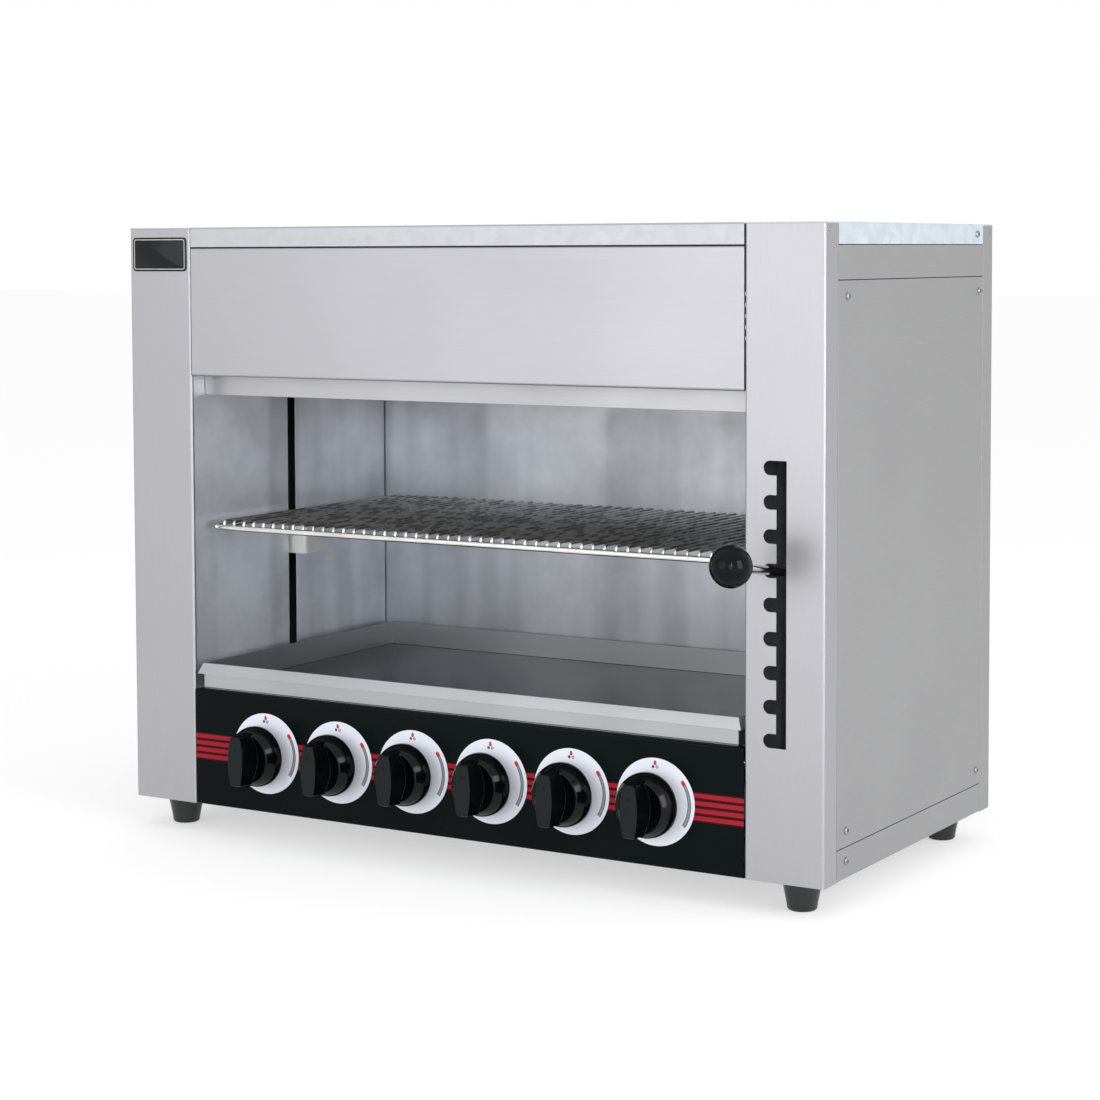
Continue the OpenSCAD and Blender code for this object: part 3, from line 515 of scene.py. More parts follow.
# Places of the screws in Y and Z: four in the panel, one in the base fold, one in the cover.
side_spots = (
    (-0.1527, 0.045), (0.1627, 0.045), (-0.1527, 0.533), (0.1627, 0.533), (-0.1527, 0.017), (0.1572, 0.590),
)
screw = made("screw", screw_head(), screw_steel)
screw_tree = screws_tree()
side_screws = grown("side_screw_heads", screw_tree, points("side_screws", [
    (body_point(HALF_WIDTH * s, y, z), (s, 0, 0)) for s in (-1, 1) for y, z in side_spots
]), {"Screw": screw, "Turn Seed": 4, "Material": screw_steel}, screw_steel)
stands_for(side_screws, "side_screws")

rivet_profile = [
    (0.0, -0.0010), (0.0007, -0.0010), (0.0008, 0.0003), (0.0012, 0.0006), (0.0017, 0.0005), (0.0020, 0.0),
    (0.0, -0.0002),
]
rivets = made("blind_rivets", smooth(mesh_of("blind_rivets", *[
    turned(rivet_profile, Vector(body_point(HALF_WIDTH * s, y, 0.593)), (s, 0, 0), 20)
    for s in (-1, 1) for y in (-0.191, 0.191)
]), 40), screw_steel)
stands_for(rivets, "side_screws")

# ---- Back panel ----
# Dull galvanised panel with an upper and a lower row of slot groups that let air in.
# Six pan-head screws hold it to the lips of the rear posts.


def zinc_sheet_group():
    """Spangle of zinc-coated sheet: flat crystals of slightly different tone."""
    tree, nodes, links, start, end = group(
        "zinc_spangle", [("Crystal Size", "Float", 0.012)], [("Tone", "Float")],
    )
    where = object_place(nodes)
    bent = node(nodes, "ShaderNodeTexNoise", links, {"Vector": where, "Scale": 60.0})
    push = node(nodes, "ShaderNodeVectorMath", links, {
        0: bent.outputs[1], 1: (0.01, 0.01, 0.01), 2: where,
    }, operation="MULTIPLY_ADD")
    scale = maths(nodes, links, "DIVIDE", 1.0, start.outputs["Crystal Size"])
    cells = node(nodes, "ShaderNodeTexVoronoi", links, {"Vector": push.outputs[0], "Scale": scale})
    tone = node(nodes, "ShaderNodeSeparateColor", links, {0: cells.outputs["Color"]})
    links.new(tone.outputs[0], end.inputs["Tone"])
    return tree


spangle = zinc_sheet_group()


def object_axes(nodes, links):
    """X, Y and Z of the Object coordinates."""
    return node(nodes, "ShaderNodeSeparateXYZ", links, {0: object_place(nodes)}).outputs


def zinc_sheet(name, low, high, rough):
    """Zinc-coated sheet with its spangle; the fold at the front is a plain darker grey."""
    mat, nodes, links, shader = principled(name, low, rough[0], 1.0, Specular_Tint=(0.62, 0.64, 0.66, 1))
    tone = place(nodes, links, spangle, Crystal_Size=0.011).outputs["Tone"]
    # The fold at the front gets a plain darker grey in place of the spangle.
    front_fold = maths(nodes, links, "LESS_THAN", object_axes(nodes, links)[1], FRONT + 0.002)
    crystals = mixed(nodes, links, tone, low, high)
    feed(links, shader, Base_Color=mixed(nodes, links, front_fold, crystals, (0.49, 0.495, 0.52)),
         Roughness=mixed(nodes, links, tone, *rough))
    return mat


dull_zinc = zinc_sheet("dull_zinc", (0.40, 0.43, 0.46), (0.46, 0.49, 0.52), (0.46, 0.58))
formed("back_panel", "slotted_back_sheet", dull_zinc, 0.0003)
back_screws = grown("back_screw_heads", screw_tree, points("back_screws", [
    (body_point(0.3602 * s, 0.2, z), (0, 1, 0)) for s in (-1, 1) for z in (0.032, 0.3, 0.566)
]), {"Screw": screw, "Turn Seed": 9, "Material": screw_steel}, screw_steel)
stands_for(back_screws, "back_screws")
bpy.data.objects.remove(screw)

# ---- Grill space: floor, side walls and back wall ----
# Thin polished steel, cloudy from wiping and a little stained by heat under the burners.
# The brush lines run level, so reflections smear upright.


def handling_group():
    """Marks of use on polished sheet: heat stain by height, upright wipe bands and cloudy blotches."""
    tree, nodes, links, start, end = group(
        "handling",
        [("Stain From", "Float", 0.38), ("Stain To", "Float", 0.50), ("Blotch Size", "Float", 0.07)],
        [("Heat", "Float"), ("Bands", "Float"), ("Blotches", "Float")],
    )
    where = object_place(nodes)
    height = object_axes(nodes, links)[2]
    heat = ramp(nodes, links, height, start.outputs["Stain From"], start.outputs["Stain To"], kind="SMOOTHSTEP")
    drawn = noise(nodes, links, scaled(nodes, links, where, (1, 1, 0.10)), 14.0, 2.0)
    bands = ramp(nodes, links, drawn, 0.40, 0.58, kind="SMOOTHSTEP")
    scale = maths(nodes, links, "DIVIDE", 1.0, start.outputs["Blotch Size"])
    blotches = ramp(nodes, links, noise(nodes, links, where, scale, 5.0, 0.62), 0.32, 0.68)
    for out, result in (("Heat", heat), ("Bands", bands), ("Blotches", blotches)):
        links.new(result, end.inputs[out])
    return tree


handling = handling_group()


def cavity_sheet(name, across, cool, warm):
    """Polished sheet with level brush lines, a faint brown heat stain towards the burners and marks of wiping."""
    mat, nodes, links, shader = principled(name, cool, 0.38, 0.80)
    marks = place(nodes, links, handling, Blotch_Size=0.075).outputs
    stained = mixed(nodes, links, marks["Heat"], cool, warm)
    cloudy = mixed(nodes, links, marks["Blotches"], 0.87, 1.07)
    banded = mixed(nodes, links, marks["Bands"], 0.84, 1.06)
    tone = maths(nodes, links, "MULTIPLY", cloudy, banded)
    feed(links, shader, Base_Color=scaled(nodes, links, stained, tone),
         Roughness=mixed(nodes, links, marks["Blotches"], 0.42, 0.34))
    brushed = place(nodes, links, grain, Across=across, Fineness=700.0)
    bumped(nodes, links, shader, brushed.outputs["Lines"], 0.10)
    return mat


# Painted light and shade: the same polished sheet is much lighter on the floor and side walls than on the back wall.
wall_steel_painted_light = cavity_sheet("cavity_wall_painted_light", LEVEL_Y, (0.82, 0.85, 0.91), (0.71, 0.72, 0.755))
back_steel_painted_shade = cavity_sheet("cavity_back_painted_shade", LEVEL_X, (0.45, 0.47, 0.51), (0.405, 0.385, 0.385))
formed("cavity_floor", "grill_floor_sheet", wall_steel_painted_light)
for side in ("left", "right"):
    formed(f"cavity_{side}_wall", f"grill_{side}_sheet", wall_steel_painted_light)
formed("cavity_back_wall", "grill_back_sheet", back_steel_painted_shade)

# ---- Gas rail, taps and connection ----
# Square steel rail under six brass taps. A half-inch pipe thread with a hexagon locknut
# leaves at the back for the gas hose.

gas_steel = worn_metal("gas_steel", (0.16, 0.16, 0.16), (0.10, 0.10, 0.10), (0.45, 0.6), 0.03, 0.9)
brass = worn_metal("brass", (0.60, 0.43, 0.19), (0.46, 0.31, 0.13), (0.22, 0.36), 0.015)
formed("gas_manifold", "square_gas_rail", gas_steel, 0.0006)
formed("gas_taps", "brass_taps", brass, 0.0005)

INLET = Vector(body_point(0.327, 0, 0.036))
BACK = 0.22975
THREAD_R, THREAD_DEPTH, THREAD_PITCH = 0.010475, 0.00115, 0.001814
BORE_R, PIPE_R, PIPE_END = 0.0075, 0.0092, BACK + 0.0250


def pipe_thread(y0, y1, steps=48):
    """Outer thread along Y as one helical band, tapered out at both ends."""
    bm = bmesh.new()
    count = int((y1 - y0) / THREAD_PITCH * steps)
    rows = []
    for i in range(count + 1):
        a = 2 * math.pi * i / steps
        fade = min(1, i / steps, (count - i) / steps)
        row = []
        for along, rise in ((-0.5, 0), (-0.1, 1), (0.1, 1), (0.5, 0)):
            radius = THREAD_R - THREAD_DEPTH + THREAD_DEPTH * rise * fade
            row.append(bm.verts.new((
                INLET.x + radius * math.cos(a), y0 + THREAD_PITCH * (i / steps + along),
                INLET.z + radius * math.sin(a),
            )))
        rows.append(row)
    for low, high in zip(rows, rows[1:]):
        for k in range(3):
            bm.faces.new((low[k], low[k + 1], high[k + 1], high[k]))
    for end in (rows[0], rows[-1]):
        bm.faces.new(end)
    bm.normal_update()
    return bm


pipe = turned([
    (BORE_R, BACK - 0.05), (PIPE_R, BACK - 0.05), (PIPE_R, PIPE_END - 0.0008), (0.0086, PIPE_END),
    (0.0078, PIPE_END), (BORE_R, PIPE_END - 0.0005), (BORE_R, BACK - 0.05),
], (INLET.x, 0, INLET.z), (0, 1, 0))
locknut = turned([
    (0.0095, 0.0), (0.0150, 0.0), (0.0160, 0.0007), (0.0160, 0.0043), (0.0150, 0.0050), (0.0095, 0.0050),
    (0.0095, 0.0),
], (INLET.x, BACK, INLET.z), (0, 1, 0), 6)
bmesh.ops.rotate(locknut, cent=INLET, matrix=Matrix.Rotation(math.radians(30), 3, "Y"), verts=locknut.verts)
thread = pipe_thread(BACK + 0.0062, BACK + 0.0240)
inlet = made("threaded_gas_pipe", smooth(mesh_of("threaded_gas_pipe", pipe, locknut, thread), 30), brass)
stands_for(inlet, "gas_inlet")

# ---- Burner pipes, jets and air mouths ----
# Bent pipes climb behind the grill space to brass jets.
# The jets blow gas and air into the flared mouths of the burners.

pipe_steel = worn_metal("pipe_steel", (0.50, 0.48, 0.45), (0.38, 0.36, 0.33), (0.3, 0.45), 0.04)
formed("burner_pipes", "bent_gas_pipes", pipe_steel, 0.0)
formed("jet_holders", "brass_jets", brass, 0.0004)
formed("venturi_tubes", "air_mouths", gas_steel, 0.0003)

# ---- Burner frame, housings and plaques ----
# A folded frame hangs the burners under the hood. Each is a pressed box over two ceramic plaques
# that glow red in use; rows of small flame holes go through the ceramic.

frame_steel = worn_metal("frame_steel", (0.43, 0.43, 0.44), (0.39, 0.39, 0.40), (0.36, 0.44), 0.09, 1.0, LEVEL_X, 0.10)
formed("burner_frame", "folded_burner_frame", frame_steel, 0.0004)
housing_steel = worn_metal("housing_steel", (0.34, 0.33, 0.32), (0.24, 0.23, 0.22), (0.4, 0.55), 0.04)
formed("burner_housings", "pressed_burner_boxes", housing_steel, 0.0004)
ceramic = rough_dark("ceramic", (0.62, 0.55, 0.44), (0.52, 0.45, 0.35), (0.75, 0.9), 0.02, 0.3)
formed("burner_plaques", "ceramic_plaques", ceramic, 0.0006)

# ---- Guide rods and their brackets ----
# Bright ground rods on both sides of the grill space, held by small zinc-plated brackets.
# The sliders of the rack run on them.

chrome = worn_metal("bright_steel", (0.68, 0.68, 0.69), (0.60, 0.60, 0.61), (0.12, 0.2), 0.02)
formed("guide_rods", "ground_guide_rods", chrome, 0.0006)
formed("guide_brackets", "rod_brackets", zinc, 0.0004)

# ---- Lift: sliders, yoke, pin and rack brackets ----
# Steel blocks on the guide rods, tied by a flat bar behind the grill space. The bent brackets
# come through the upright slots and carry the rack; they are painted white.

block_steel = worn_metal("block_steel", (0.36, 0.36, 0.37), (0.26, 0.26, 0.27), (0.32, 0.45), 0.02)
for side in ("left", "right"):
    formed(f"{side}_slider", f"{side}_slide_block", block_steel, 0.0006)
formed("lift_yoke", "yoke_bar", zinc, 0.0005)
formed("lever_pivot_pin", "headed_pin", chrome, 0.0005)
bracket_paint = rough_dark("bracket_paint", (0.93, 0.94, 0.96), (0.88, 0.89, 0.91), (0.26, 0.36), 0.015)
for side in ("left", "right"):
    formed(f"{side}_rack_bracket", f"{side}_bent_bracket", bracket_paint, 0.0005)

# ---- Wire rack ----
# Chromed ring with rounded corners; 48 lengthways wires are bent down and welded onto its
# front and rear bars, over three cross wires.

rack_chrome = worn_metal("rack_chrome", (0.80, 0.79, 0.76), (0.62, 0.61, 0.58), (0.14, 0.24), 0.02)


def burnt_wire_with_painted_light():
    """Chromed wire with random burnt patches; its top and front-facing sides are painted bright as painted light, its
    other sides and underside painted dark grey as painted shade.
    """
    mat, nodes, links, shader = principled("burnt_wire_with_painted_light", (0.8, 0.8, 0.78), 0.2, 1.0)
    patches = place(nodes, links, wear, Size=0.022, Speck_Size=0.0025).outputs["Patches"]
    burnt = ramp(nodes, links, patches, 0.35, 0.65, kind="SMOOTHSTEP")
    normal = node(nodes, "ShaderNodeNewGeometry").outputs["Normal"]
    facing = node(nodes, "ShaderNodeSeparateXYZ", links, {0: normal}).outputs
    # Painted light: faces that point up or to the front get the bright colour.
    top = ramp(nodes, links, facing[2], 0.60, 0.85, kind="SMOOTHSTEP")
    front = ramp(nodes, links, facing[1], -0.35, -0.7, kind="SMOOTHSTEP")
    painted_light_mask = maths(nodes, links, "MAXIMUM", top, front)
    bright = mixed(nodes, links, burnt, (0.98, 0.98, 0.96), (0.62, 0.61, 0.59))
    # Painted shade: the dark colour on the sides and underside of the wire.
    brown = mixed(nodes, links, burnt, (0.46, 0.475, 0.48), (0.21, 0.21, 0.20))
    feed(links, shader, Base_Color=mixed(nodes, links, painted_light_mask, brown, bright),
         Roughness=mixed(nodes, links, painted_light_mask, 0.38, 0.16))
    return mat


wire_metal = burnt_wire_with_painted_light()
RACK = dict(x=0.315, y0=-0.175, y1=0.150, z=0.2882, corner=0.012, r=0.003)

ring_path = []
for cx, y, start in (
    (1, RACK["y1"] - RACK["corner"], 0), (-1, RACK["y1"] - RACK["corner"], 90),
    (-1, RACK["y0"] + RACK["corner"], 180), (1, RACK["y0"] + RACK["corner"], 270),
):
    bend = quarter((cx * (RACK["x"] - RACK["corner"]), y), RACK["corner"], start, start + 90, 8)
    ring_path += [body_point(*spot, RACK["z"]) for spot in bend]
ring = made("rack_ring", smooth(mesh_of("rack_ring", tube(ring_path, RACK["r"], 20, closed=True)), 60), rack_chrome)
stands_for(ring, "rack_frame")

WIRE = dict(r=0.0015, z=0.2952, bend=0.0035, pitch=0.0127, count=48)


def wire_tree():
    """Copies one bent wire in even steps along X."""
    tree, nodes, links, start, end = repeat_tree("even_row", [
        ("Count", "Int"), ("Spacing", "Float"), ("Material", "Material"),
    ])
    steps = maths(nodes, links, "SUBTRACT", start.outputs["Count"], 1.0)
    length = maths(nodes, links, "MULTIPLY", steps, start.outputs["Spacing"])
    left, right = (
        node(nodes, "ShaderNodeCombineXYZ", links, {0: maths(nodes, links, "MULTIPLY", length, share)}).outputs[0]
        for share in (-0.5, 0.5)
    )
    row = node(nodes, "GeometryNodeMeshLine", links, {
        "Count": start.outputs["Count"], "Start Location": left, "Offset": right,
    }, mode="END_POINTS")
    copies = node(nodes, "GeometryNodeInstanceOnPoints", links, {
        "Points": row.outputs[0], "Instance": start.outputs["Geometry"],
    })
    finish_tree(nodes, links, start, end, copies.outputs[0])
    return tree


SEAT = RACK["z"] + RACK["r"] + 0.00002  # the ends of the wires rest on the ring
shoulder = WIRE["z"] - WIRE["bend"]
wire_path = (
    [(RACK["y0"], SEAT)]
    + quarter((RACK["y0"] + WIRE["bend"], shoulder), WIRE["bend"], 180, 90, 4)
    + quarter((RACK["y1"] - WIRE["bend"], shoulder), WIRE["bend"], 90, 0, 4)
    + [(RACK["y1"], SEAT)]
)
one_wire = smooth(mesh_of("one_wire", tube([body_point(0, *spot) for spot in wire_path], WIRE["r"], 12)), 60)
wires = grown("lengthways_wires", wire_tree(), one_wire, {
    "Count": WIRE["count"], "Spacing": WIRE["pitch"], "Material": wire_metal,
}, wire_metal)
stands_for(wires, "rack_wires")

CROSS = dict(x=RACK["x"] - RACK["r"] + 0.0002, z=0.29168, r=0.002)
cross = [
    tube([body_point(s * CROSS["x"], RACK["y0"] + share * (RACK["y1"] - RACK["y0"]), CROSS["z"]) for s in (-1, 1)],
         CROSS["r"], 14)
    for share in (0.31, 0.63, 0.82)
]
stands_for(made("cross_wires", smooth(mesh_of("cross_wires", *cross), 60), rack_chrome), "rack_cross_wires")

# ---- Lever and ball ----
# Chromed rod that pivots beside the grill space, comes out through the notched slot
# and ends in a glossy black ball knob.

formed("lever_rod", "bright_lever", chrome, 0.0003)
ball_black = rough_dark(
    "ball_black", (0.003, 0.004, 0.005), (0.004, 0.006, 0.007), (0.06, 0.10), 0.03, Specular_IOR_Level=0.11)
ball_verts = frame["nodes"]["lever_ball"].data.vertices
BALL = sum((Vector([pick(v.co[i] for v in ball_verts) for i in range(3)]) for pick in (min, max)), Vector()) / 2
LEVER_PIVOT = Vector(body_point(0.357, -0.060, 0.263376))
BALL_R, ROD_HOLE_R, MOUTH_R = 0.01948, 0.0043, 0.0048
ball_profile = (
    [(ROD_HOLE_R, -0.0080), (ROD_HOLE_R, -0.0190), (MOUTH_R, -math.sqrt(BALL_R ** 2 - MOUTH_R ** 2))]
    + [(BALL_R * math.sin(math.radians(a)), -BALL_R * math.cos(math.radians(a))) for a in range(18, 180, 4)]
    + [(0.0, BALL_R)]
)
rod_way = (BALL - LEVER_PIVOT).normalized()
ball = made("ball_knob", smooth(mesh_of("ball_knob", turned(ball_profile, BALL, rod_way, 72)), 40), ball_black)
stands_for(ball, "lever_ball")

# ---- Drip tray ----
# Shallow steel tray with a flange that slopes outwards, mitred and welded at the corners.
# Its floor is darkened to a dull olive by heat and fat; sides and flange stay brighter.

TRAY_FLOOR = 0.1525


def tray_sheet():
    """Brushed sheet, with the stain on the inside of the floor."""
    mat, nodes, links, shader = principled(
        "tray_steel", (0.5, 0.5, 0.5), 0.3, 1.0, Specular_Tint=(0.60, 0.60, 0.60, 1))
    patches = place(nodes, links, wear, Size=0.10, Speck_Size=0.003).outputs["Patches"]
    height = object_axes(nodes, links)[2]
    low_down = ramp(nodes, links, height, TRAY_FLOOR + 0.0008, TRAY_FLOOR + 0.0002)
    above = maths(nodes, links, "GREATER_THAN", height, TRAY_FLOOR - 0.0006)
    stained = maths(nodes, links, "MULTIPLY", low_down, above)
    bright = mixed(nodes, links, patches, (0.41, 0.42, 0.435), (0.37, 0.38, 0.395))
    dull = mixed(nodes, links, patches, (0.125, 0.137, 0.130), (0.070, 0.076, 0.068))
    feed(links, shader, Base_Color=mixed(nodes, links, stained, bright, dull),
         Roughness=mixed(nodes, links, stained, 0.34, 0.25), Metallic=mixed(nodes, links, stained, 1.0, 0.85))
    brushed = place(nodes, links, grain, Across=LEVEL_X, Fineness=800.0)
    bumped(nodes, links, shader, brushed.outputs["Lines"], 0.08)
    return mat


formed("drip_tray", "rimmed_tray", tray_sheet(), 0.0003)

# ---- Control panel ----
# Black enamelled panel in front of the gas rail.
# Four fine red stripes run its whole length behind the dials.

KNOB_PITCH, KNOB_Z = 0.091, 0.0915
STRIPE_PITCH, STRIPE_WIDTH = 0.0070, 0.0043


def enamel_with_stripes():
    """Glossy black enamel with four printed red stripes at the height of the knobs."""
    mat, nodes, links, shader = principled(
        "panel_enamel", (0.003, 0.0055, 0.006), 0.22, 0.0, Specular_IOR_Level=0.06)
    patches = place(nodes, links, wear, Size=0.05, Speck_Size=0.0015).outputs["Patches"]
    _, depth, height = object_axes(nodes, links)
    from_low = maths(nodes, links, "SUBTRACT", height, KNOB_Z - 2 * STRIPE_PITCH)
    folded = maths(nodes, links, "FLOORED_MODULO", from_low, STRIPE_PITCH)
    away = maths(nodes, links, "ABSOLUTE", maths(nodes, links, "SUBTRACT", folded, STRIPE_PITCH / 2))
    stripe = maths(nodes, links, "LESS_THAN", away, STRIPE_WIDTH / 2)
    near = maths(nodes, links, "COMPARE", height, KNOB_Z, 2 * STRIPE_PITCH)
    front = maths(nodes, links, "LESS_THAN", depth, FRONT + 0.0008)
    band = maths(nodes, links, "MULTIPLY", near, front)
    red = maths(nodes, links, "MULTIPLY", stripe, band)
    black = mixed(nodes, links, patches, (0.0018, 0.0044, 0.0050), (0.0028, 0.0056, 0.0062))
    dim = mixed(nodes, links, band, black, (0.040, 0.006, 0.009))
    feed(links, shader, Base_Color=mixed(nodes, links, red, dim, (0.37, 0.019, 0.032)),
         Roughness=mixed(nodes, links, patches, 0.20, 0.32))
    return mat


formed("control_panel", "enamelled_front", enamel_with_stripes(), 0.0003)

# ---- Dial plates ----
# Pale anodised discs behind the knobs, printed with a small red and a small dark mark at the top
# and, at the right, with a dark tapering scale that starts at a red dot.

DIAL_R = 0.0415
SCALE_AT = 0.87  # share of the radius at which the scale runs


def dial_print():
    """Ink of one dial in polar coordinates round its centre, repeated for each dial."""
    mat, nodes, links, shader = principled("dial_plate", (0.84, 0.88, 0.97), 0.40, 0.0)

    def calc(operation, *values):
        return maths(nodes, links, operation, *values)

    patches = place(nodes, links, wear, Size=0.03, Speck_Size=0.001).outputs["Patches"]
    across, _, height = object_axes(nodes, links)
    x = calc("SUBTRACT", calc("FLOORED_MODULO", across, KNOB_PITCH), KNOB_PITCH / 2)
    z = calc("SUBTRACT", height, KNOB_Z)
    radius = calc("SQRT", calc("ADD", calc("MULTIPLY", x, x), calc("MULTIPLY", z, z)))
    turn = calc("ARCTAN2", x, z)

    def spot(angle, share, size):
        cx, cz = share * DIAL_R * math.sin(math.radians(angle)), share * DIAL_R * math.cos(math.radians(angle))
        dx, dz = calc("SUBTRACT", x, cx), calc("SUBTRACT", z, cz)
        return calc("LESS_THAN", calc("ADD", calc("MULTIPLY", dx, dx), calc("MULTIPLY", dz, dz)), size * size)

    first, last = math.radians(58), math.radians(124)
    along = calc("DIVIDE", calc("SUBTRACT", turn, first), last - first)
    inside = calc("MULTIPLY", calc("GREATER_THAN", along, 0.0), calc("LESS_THAN", along, 1.0))
    half = calc("ADD", calc("MULTIPLY", along, 0.0003), 0.0016)
    off = calc("ABSOLUTE", calc("SUBTRACT", radius, SCALE_AT * DIAL_R))
    scale = calc("MULTIPLY", calc("LESS_THAN", off, half), inside)
    core = calc("LESS_THAN", off, calc("SUBTRACT", half, 0.0008))
    dark = calc("SUBTRACT", scale, calc("MULTIPLY", calc("MULTIPLY", core, scale), 0.35))
    under = calc("MAXIMUM", spot(-3.6, 0.80, 0.0015), spot(3.6, 0.80, 0.0015))
    dark = calc("MAXIMUM", dark, calc("SUBTRACT", under, calc("MULTIPLY", spot(3.6, 0.80, 0.0008), 0.8)))
    bar = calc("MULTIPLY", calc("LESS_THAN", off, 0.0019), calc("COMPARE", turn, math.radians(57), math.radians(2.6)))
    start = calc("MAXIMUM", bar, spot(54, SCALE_AT, 0.0019))
    red = calc("MAXIMUM", start, calc("MAXIMUM", spot(0, 0.915, 0.0013), spot(0, 0.875, 0.0017)))
    pale = mixed(nodes, links, patches, (0.86, 0.895, 0.98), (0.82, 0.86, 0.95))
    inked = mixed(nodes, links, dark, pale, (0.05, 0.05, 0.06))
    feed(links, shader, Base_Color=mixed(nodes, links, red, inked, (0.55, 0.04, 0.03)))
    return mat


formed("dial_plates", "printed_dials", dial_print(), 0.0002)

# ---- Tap stems and knobs ----
# Black moulded knobs: a sleeve, a steep glossy skirt, a dished hub and a barrel-shaped grip across it
# with a dull face and a pointer dimple. They push in and turn on the stems of the taps.

# Depths in front of the panel where the skirt starts and ends, its radius and how far it swells.
RIM, HUB, SKIRT_R, SWELL = 0.0170, 0.0313, 0.0310, 0.0053
GRIP_FACE = 0.05165


def knob_plastic():
    """Glossy black moulding; the face of the grip is worn to a dull gloss and given a slightly lighter green-grey tint
    as a painted reflection.
    """
    mat, nodes, links, shader = principled("knob_black", (0.003, 0.004, 0.005), 0.12, Specular_IOR_Level=0.20)
    worn = place(nodes, links, wear, Size=0.02, Speck_Size=0.0015).outputs
    face = maths(nodes, links, "LESS_THAN", object_axes(nodes, links)[1], FRONT - GRIP_FACE)
    # Painted reflection: the face of the grip is a lighter green-grey than the rest of the knob.
    black = mixed(nodes, links, worn["Patches"], (0.0010, 0.0016, 0.0020), (0.0020, 0.0030, 0.0035))
    dull = mixed(nodes, links, worn["Patches"], (0.0030, 0.0055, 0.0055), (0.0055, 0.0085, 0.0085))
    gloss = mixed(nodes, links, worn["Patches"], 0.10, 0.16)
    feed(links, shader, Base_Color=mixed(nodes, links, face, black, dull),
         Roughness=maths(nodes, links, "MULTIPLY_ADD", face, 0.45, gloss))
    bumped(nodes, links, shader, worn["Specks"], 0.06, 0.0002)
    return mat


knob_black = knob_plastic()


def bell(x):
    """Swells the straight skirt of one knob into a bell: steep at the rim, flatter towards the hub."""
    def reshape(bm):
        for i in range(1, 9):
            depth = RIM + (HUB - RIM) * i / 9
            bmesh.ops.bisect_plane(bm, geom=bm.verts[:] + bm.edges[:] + bm.faces[:],
                                   plane_co=(x, FRONT - depth, KNOB_Z), plane_no=(0, 1, 0))
        for vert in bm.verts:
            up = (FRONT - vert.co.y - RIM) / (HUB - RIM)
            out = Vector((vert.co.x - x, 0, vert.co.z - KNOB_Z))
            if 0 < up < 1 and out.length > SKIRT_R - SWELL * up - 0.0003:
                vert.co += out.normalized() * SWELL * (up - up * up)
    return reshape


for i in range(6):
    formed(f"tap_stem_{i + 1}", f"bright_stem_{i + 1}", chrome, 0.0004)
    formed(f"knob_{i + 1}", f"moulded_knob_{i + 1}", knob_black, 0.0006, 30, 3, reshape=bell((i - 2.5) * KNOB_PITCH))

# ---- Hood panel and top cover ----
# The hood is a wide brushed panel over the burners. The cover is zinc-coated sheet, folded down on all
# four sides, with groups of slots near the back where the hot gas leaves.

hood_steel = worn_metal("hood_steel", STEEL_LOW, STEEL_HIGH, (0.38, 0.44), 0.18, 1.0, LEVEL_X, 0.07)
formed("hood_panel", "hood_sheet", hood_steel, 0.0003)
galvanised = zinc_sheet("galvanised", (0.69, 0.755, 0.81), (0.74, 0.805, 0.86), (0.48, 0.56))
formed("top_cover", "slotted_cover_sheet", galvanised, 0.0002, clamp=True)

# ---- Blank badge plate ----
# Small black enamelled plate on the left column, left without any marking.
# It has rounded corners and a thin pale line inside its edge.

badge_black = rough_dark(
    "badge_black", (0.006, 0.007, 0.008), (0.010, 0.010, 0.012), (0.16, 0.24), 0.02, Specular_IOR_Level=0.2)
keyline_white = rough_dark("keyline_white", (0.62, 0.62, 0.63), (0.55, 0.55, 0.56), (0.35, 0.45), 0.01)
BADGE = Vector((-0.360, FRONT, 0.6025))


def stacked(loops, close):
    """Joins loops of equal count, each given with its depth in front of the column; `close` caps the last one."""
    bm = bmesh.new()
    rows = [[bm.verts.new((BADGE.x + x, BADGE.y - depth, BADGE.z + z)) for x, z in loop] for loop, depth in loops]
    count = len(rows[0])
    for low, high in zip(rows, rows[1:]):
        for i in range(count):
            bm.faces.new((low[i], low[(i + 1) % count], high[(i + 1) % count], high[i]))
    if close:
        bm.faces.new(rows[0][::-1])
        bm.faces.new(rows[-1])
    bmesh.ops.recalc_face_normals(bm, faces=bm.faces)
    return bm


def outline(inset):
    """Rectangle with round corners in X and Z round the middle of the badge, set in by a distance."""
    half_x, half_z, corner = 0.0355 - inset, 0.0175 - inset, 0.0040 - 0.8 * inset
    loop = []
    for cx, cz, start in ((1, 1, 0), (-1, 1, 90), (-1, -1, 180), (1, -1, 270)):
        loop += quarter((cx * (half_x - corner), cz * (half_z - corner)), corner, start, start + 90, 6)
    return loop


# Each step of a profile is an inset and a depth in front of the column.
blank = stacked([(outline(inset), depth) for inset, depth in (
    (0, 0), (0, 0.0006), (0.0001, 0.00080), (0.0003, 0.0009),
)], True)
line = stacked([(outline(inset), depth) for inset, depth in (
    (0.0019, 0.0008), (0.0019, 0.00096), (0.0021, 0.00098), (0.0025, 0.00098), (0.0027, 0.00096), (0.0027, 0.0008),
    (0.0019, 0.0008),
)], False)
stands_for(made("badge_blank", smooth(mesh_of("badge_blank", blank), 50), badge_black), "badge_plate")
stands_for(made("badge_keyline", smooth(mesh_of("badge_keyline", line), 50), keyline_white), "badge_plate")

# ---- Studio ----
# White floor and surroundings, four soft lamps, and the camera at the photograph's place.
# Only the camera and mirrors see the full white, so the floor keeps a light shadow.


def seen_directly(nodes, links):
    """1 for rays from the camera, off a mirror or through glass, 0 for the light that falls on things."""
    path = nodes.new("ShaderNodeLightPath").outputs
    seen = maths(nodes, links, "MAXIMUM", path["Is Camera Ray"], path["Is Glossy Ray"])
    return maths(nodes, links, "MAXIMUM", seen, path["Is Transmission Ray"])


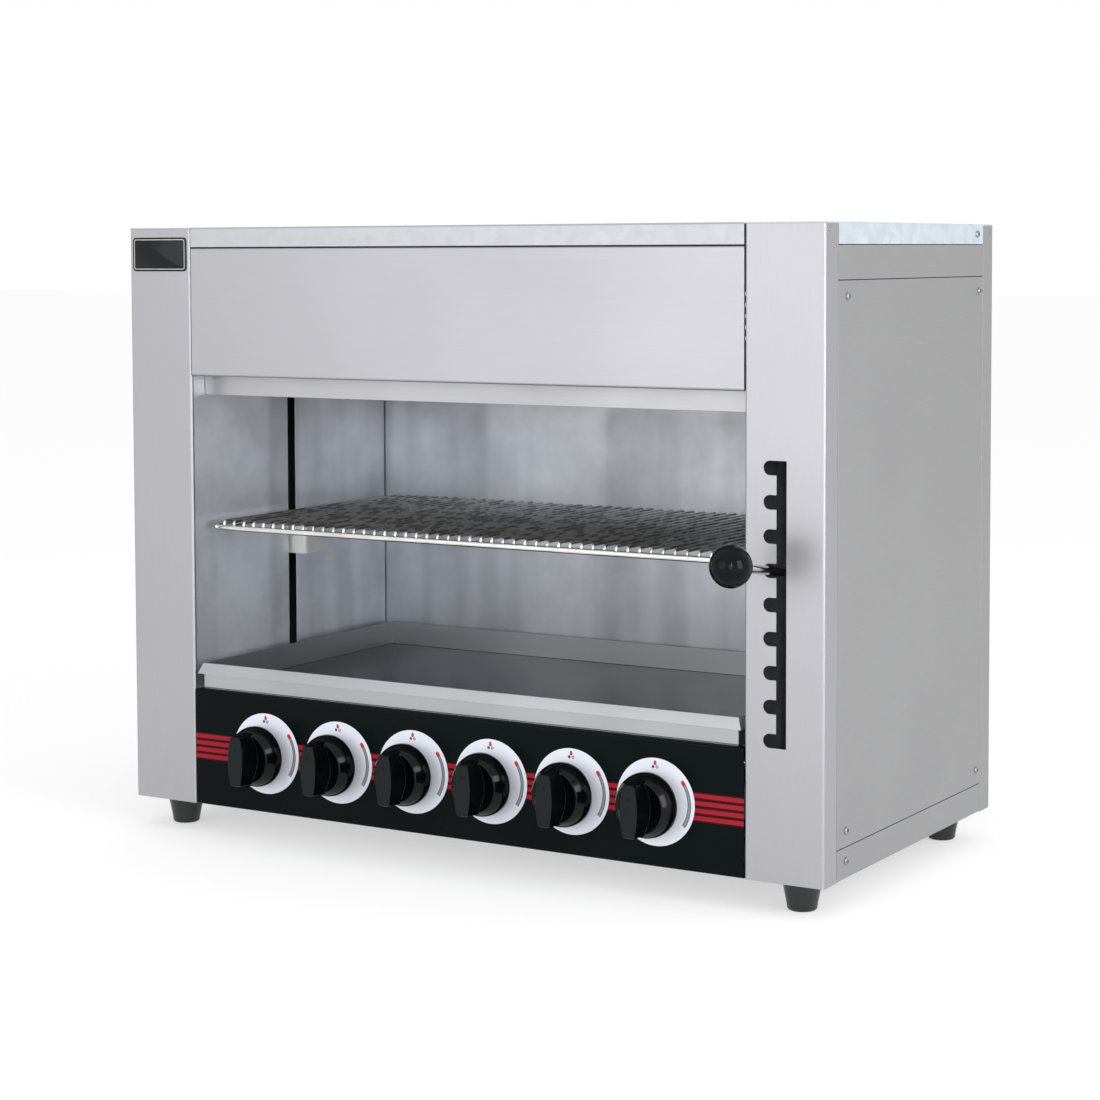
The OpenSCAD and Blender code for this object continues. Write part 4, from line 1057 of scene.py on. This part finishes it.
floor_mesh = bpy.data.meshes.new("floor")
floor_mesh.from_pydata([(-30, -30, 0), (30, -30, 0), (30, 30, 0), (-30, 30, 0)], [], [(0, 1, 2, 3)])
floor_paint, nodes, links, shader = principled("floor_paint", (0.64, 0.64, 0.64), 0.9, Specular_IOR_Level=0.0)
glow = nodes.new("ShaderNodeEmission")
feed(links, glow, Strength=maths(nodes, links, "MULTIPLY", seen_directly(nodes, links), 0.46))
lit = node(nodes, "ShaderNodeAddShader", links, {0: shader.outputs[0], 1: glow.outputs[0]})
links.new(lit.outputs[0], nodes["Material Output"].inputs["Surface"])
floor = made("floor", floor_mesh, floor_paint)

world = bpy.data.worlds.new("studio")
bpy.context.scene.world = world
world.use_nodes = True
nodes, links = world.node_tree.nodes, world.node_tree.links
nodes["Background"].inputs["Color"].default_value = (1, 1, 1, 1)
feed(links, nodes["Background"], Strength=mixed(nodes, links, seen_directly(nodes, links), 0.80, 1.0))


def lamp(name, place_at, aim, size, power):
    """A soft box that points at the machine."""
    light = bpy.data.lights.new(name, "AREA")
    light.shape, light.size, light.size_y, light.energy = "RECTANGLE", size[0], size[1], power
    holder = bpy.data.objects.new(name, light)
    bpy.context.collection.objects.link(holder)
    holder.location = place_at
    holder.rotation_euler = (Vector(aim) - Vector(place_at)).to_track_quat("-Z", "Y").to_euler()


lamp("front_box", (-0.85, -3.2, 0.95), (0, 0, 0.35), (2.3, 1.8), 19.5)
lamp("near_fill", (1.75, -2.9, 0.6), (-0.1, 0, 0.25), (1.2, 1.3), 14)
lamp("camera_strip", (1.9, -2.9, 1.3), (0.2, 0, 0.3), (0.16, 1.0), 10)
lamp("right_box", (2.8, -0.80, 0.95), (0, -0.2, 0.12), (1.2, 1.8), 36)

camera = bpy.data.objects.new("camera", bpy.data.cameras.new("camera"))
bpy.context.collection.objects.link(camera)
bpy.context.scene.camera = camera
camera.data.sensor_width, camera.data.lens, camera.data.shift_y = 36.0, 83.429, -0.13
yaw, pitch, roll = (math.radians(angle) for angle in (31.241, 3.481, -0.202))
ahead = Vector((-math.sin(yaw) * math.cos(pitch), math.cos(yaw) * math.cos(pitch), -math.sin(pitch)))
right = Vector((math.cos(yaw), math.sin(yaw), 0))
up = right.cross(ahead)
right, up = math.cos(roll) * right + math.sin(roll) * up, math.cos(roll) * up - math.sin(roll) * right
look = Matrix((right, up, -ahead)).transposed().to_4x4()
camera.matrix_world = Matrix.Translation((1.3636, -2.23035, 0.6037)) @ look
bpy.context.scene.view_settings.view_transform = "Standard"
